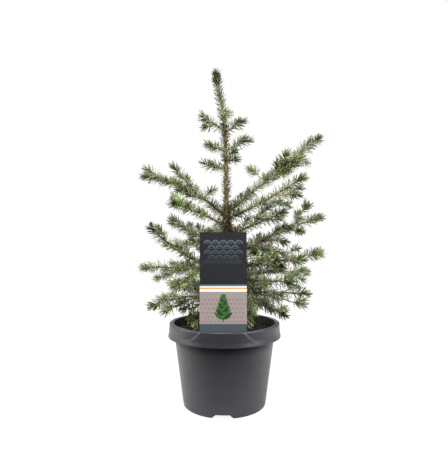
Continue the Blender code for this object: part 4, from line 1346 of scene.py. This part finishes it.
def make_soil(finish, chip, straw):
    mesh = Mesh()
    columns, rows = 180, 60
    edge = RIM_INNER_RADIUS - WALL - 0.0006
    rings = []
    for row in range(rows):
        radius = edge * ((row + 0.5) / (rows - 0.5)) ** 0.8
        ring = []
        for column in range(columns):
            turn = math.tau * column / columns
            x, y = radius * math.cos(turn), radius * math.sin(turn)
            ring.append((x, y, soil_height(x, y)))
        rings.append(ring)
    rings.append([(x, y, SOIL_EDGE_HEIGHT - SOIL_DEPTH) for x, y, _ in rings[-1]])
    rings.append([(x * 0.02, y * 0.02, SOIL_EDGE_HEIGHT - SOIL_DEPTH) for x, y, _ in rings[-1]])
    rings.append([(x * 0.02, y * 0.02, z) for x, y, z in rings[0]])
    mesh.add(rings, grid_faces(len(rings), columns))
    middle = np.array([[0, 0, soil_height(0, 0)]])
    faces = [((j + 1) % columns, columns, j) for j in range(columns)]
    mesh.add(np.vstack([rings[0], middle]), faces)
    ground = mesh.build("soil_fill", [finish])
    bits = Mesh()
    rng = random.Random(5)
    for size, flat, count, slot in SOIL_BITS:
        for _ in range(count):
            radius = (edge - 0.004) * math.sqrt(rng.random())
            turn = rng.uniform(0, math.tau)
            x, y = radius * math.cos(turn), radius * math.sin(turn)
            at_card = abs(x - CARD_X) < TONGUE_WIDTH / 2 + 0.005 and abs(y - CARD_Y) < 0.005
            if radius > 0.013 and not at_card:
                crumb(bits, rng, x, y, size * rng.uniform(0.6, 1.3), flat, slot)
    return ground, bits.build("soil_crumbs", [finish, chip, straw], smooth=False)


# The card.


def rectangle(low_x, low_z, high_x, high_z):
    return [(low_x, low_z), (high_x, low_z), (high_x, high_z), (low_x, high_z)]


def fan(middle_x, middle_z, radius, steps=20):
    """A half disc that stands on its straight side."""
    return [
        (middle_x + radius * math.cos(a), middle_z + radius * math.sin(a))
        for a in np.linspace(0, math.pi, steps)
    ]


def leaf(foot_x, foot_z, turn, length, width, steps=10):
    """A pointed oval that starts at its foot."""
    along_it = np.linspace(0, 1, steps)
    half = width / 2 * np.sin(math.pi * along_it**0.85)
    cos, sin = math.cos(turn), math.sin(turn)
    rim = [(t * length, w) for t, w in zip(along_it, half, strict=True)]
    rim += [(t * length, -w) for t, w in zip(along_it[-2:0:-1], half[-2:0:-1], strict=True)]
    return [(foot_x + u * cos - v * sin, foot_z + u * sin + v * cos) for u, v in rim]


def card_shapes():
    """The print, from the back to the front: (colour, outline of across and height)."""
    left, right = -CARD_WIDTH / 2, CARD_WIDTH / 2
    height = CARD_TOP - CARD_FOOT
    base, band = CARD_FOOT + 0.080 * height, CARD_FOOT + 0.40 * height
    shapes = [("beige", rectangle(left, base, right, band))]
    radius = 0.0062
    for row in range(5):
        level = CARD_TOP - 0.012 - 0.0078 * row - radius
        for k in range(-6, 7):
            x = (2 * k + row % 2) * radius
            if abs(x) + radius < right:
                dusk = f"dusk_{row}"
                for colour, share in ((dusk, 1), ("charcoal", 0.62), (dusk, 0.30)):
                    shapes.append((colour, fan(x, level, share * radius)))
    low = 0
    for high, colour in STRIPES:
        shapes.append((colour, rectangle(left, band + low, right, band + high)))
        low = high
    foot = CARD_FOOT + 0.098 * height
    for row in range(6):
        for k in range(-5, 6):
            x = 0.0064 * k + 0.0032 * (row % 2)
            if abs(x) + 0.003 < right:
                brick = leaf(x - 0.0022, foot + 0.0068 * row + 0.001, 0, 0.0044, 0.0022, 6)
                shapes.append(("rose", brick))
    shapes.append(("leaf_dark", rectangle(-0.0006, foot, 0.0006, foot + 0.0370)))
    for pair in range(7):
        at, length = foot + 0.004 + 0.0054 * pair, 0.0185 - 0.0017 * pair
        rise = math.radians(38 + 4 * pair)
        for side, turn in enumerate((math.pi - rise, rise)):
            colour = "leaf_dark" if (pair + side) % 2 else "leaf_green"
            shapes.append((colour, leaf(0, at, turn, length, 0.36 * length)))
    shapes.append(("leaf_green", leaf(0, foot + 0.0355, math.pi / 2, 0.0092, 0.0042)))
    shapes.append(("slate", rectangle(left, CARD_FOOT, right, base)))
    return shapes


def make_card():
    """The sheet with its tongue, and its print as thin shapes on its front."""
    bm = bmesh.new()
    half, tongue, tip = CARD_WIDTH / 2, TONGUE_WIDTH / 2, TONGUE_TIP_WIDTH / 2
    outline = rounded((
        (-tip, TONGUE_TIP, CARD_CORNER),
        (tip, TONGUE_TIP, CARD_CORNER),
        (tongue, TONGUE_TOP, CARD_CORNER),
        (half, CARD_FOOT, CARD_CORNER),
        (half, CARD_TOP, 0.0012),
        (-half, CARD_TOP, 0.0012),
        (-half, CARD_FOOT, CARD_CORNER),
        (-tongue, TONGUE_TOP, CARD_CORNER),
    ))

    def on_card(across, height, depth):
        return CARD_X + across, CARD_Y + depth, height

    for face in prism(bm, outline, on_card, -CARD_THICK / 2, CARD_THICK / 2)[1:]:
        face.material_index = 1
    bmesh.ops.recalc_face_normals(bm, faces=bm.faces[:])
    finishes = {
        name: waxy_material(f"print_{name}", colour, 0.34, 40, 3, (0.30, 0.40))
        for name, colour in CARD_COLOURS.items()
    }
    sheet = from_bmesh("card_sheet", bm, [finishes["charcoal"], finishes["white"]])
    bm = bmesh.new()
    names = list(finishes)
    for i, (colour, shape) in enumerate(card_shapes()):
        depth = -CARD_THICK / 2 - PRINT_RISE - PRINT_STEP * i
        corners = [bm.verts.new(on_card(a, h, depth)) for a, h in shape]
        bm.faces.new(corners).material_index = names.index(colour)
    return sheet, from_bmesh("card_print", bm, finishes.values())


# The stage.


def make_floor():
    bpy.ops.mesh.primitive_plane_add(size=FLOOR_SIZE, location=(0, 0, -FLOOR_DROP))
    floor = bpy.context.object
    floor.name = "floor"
    white = material("floor_white", (0.94, 0.94, 0.94), 0.9, 0.1)
    tree = white.node_tree
    seen = node(tree, "ShaderNodeLightPath", {}).outputs["Is Camera Ray"]
    back = axis_of(tree, place_in(tree), "Y")
    bounce = gradual(tree, back, -0.30, 0.06, FLOOR_FRONT, FLOOR_BOUNCE)
    tones = {"Value": seen, "To Min": bounce, "To Max": FLOOR_SEEN}
    tone = node(tree, "ShaderNodeMapRange", tones).outputs["Result"]
    glow = calculated(tree, "MULTIPLY", seen, FLOOR_GLOW)
    set_shader(white, {"Base Color": tone, "Emission Color": (1, 1, 1, 1), "Emission Strength": glow})
    floor.data.materials.append(white)


def make_world():
    world = bpy.data.worlds.new("studio")
    world.use_nodes = True
    tree = world.node_tree
    seen = node(tree, "ShaderNodeLightPath", {}).outputs["Is Camera Ray"]
    back = axis_of(tree, place_in(tree, "Generated"), "Y")
    light = calculated(tree, "MAXIMUM", gradual(tree, back, -0.9, 0.1, DARK_FRONT, SWEEP), seen)
    wire(tree, tree.nodes["Background"], {"Color": (1, 1, 1, 1), "Strength": light})
    bpy.context.scene.world = world


def make_lamps():
    for name, (place, size, power) in LAMPS.items():
        light = bpy.data.lights.new(name, "AREA")
        light.size, light.energy = size, power
        lamp = placed(name, light)
        lamp.location = place
        lamp.rotation_euler = (Vector(LIT_POINT) - Vector(place)).to_track_quat("-Z", "Y").to_euler()


def make_camera():
    camera = placed("camera", bpy.data.cameras.new("camera"))
    camera.location = EYE
    camera.rotation_euler = (math.pi / 2 + LOOK_UP, 0, 0)
    camera.data.sensor_fit = "HORIZONTAL"
    camera.data.sensor_width = FILM_WIDTH
    camera.data.lens = FILM_WIDTH * FOCAL_PIXELS / PHOTO_PIXELS
    bpy.context.scene.camera = camera
    bpy.context.scene.view_settings.view_transform = "Standard"


# All of it.


def ready(piece, slot, *nodes):
    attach(piece, "root")
    if nodes:
        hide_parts(*nodes)


def main():
    foliage = [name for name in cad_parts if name.endswith("_foliage")]
    bough_nodes = [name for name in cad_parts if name.endswith("_bough")]
    rough = {name: rough_material(name, *looks) for name, looks in ROUGH_FINISHES.items()}

    grown, limbs = grow()
    ready(make_limbs(grown, rough["old_bark"]), "bark", "trunk", *bough_nodes)
    ready(make_twigs(grown, rough["young_bark"], "twigs", False), "bark", *foliage)
    ready(make_twigs(grown, rough["fresh_bark"], "fresh_twigs", True), "bark")
    ready(make_buds(grown, rough["bud_scales"]), "bark")
    ready(needle_mesh(trunk_stubs(), "trunk_stubs", [rough["stubs"], rough["old_bark"]]), "bark")

    needles = joined([*(needles_of(shoot) for shoot in grown), leader_needles()])
    needles = chosen(needles, room_for(needles, limbs) & ~hides_new_stem(needles, grown))
    for index, (name, (top, under)) in enumerate(NEEDLE_COLOURS.items()):
        finishes = [
            needle_material(f"needle_{name}", top, 0.44),
            needle_material(f"needle_{name}_under", under, 0.60),
        ]
        those = np.flatnonzero(needles.colour == index)
        pieces = max(1, math.ceil(len(those) / NEEDLES_A_PIECE))
        for number, part in enumerate(np.array_split(those, pieces)):
            piece = needle_mesh(chosen(needles, part), f"needles_{name}_{number + 1}", finishes)
            ready(piece, "needles", *foliage)

    ready(make_pot(pot_material(), rough["pot_inside"]), "pot_plastic", "pot")
    ground, bits = make_soil(soil_material(), rough["bark_chips"], rough["peat_fibre"])
    ready(ground, "soil", "soil")
    ready(bits, "soil")
    sheet, print_piece = make_card()
    ready(sheet, "card", "label_card")
    ready(print_piece, "card")
    make_floor()
    make_world()
    make_lamps()
    make_camera()


main()
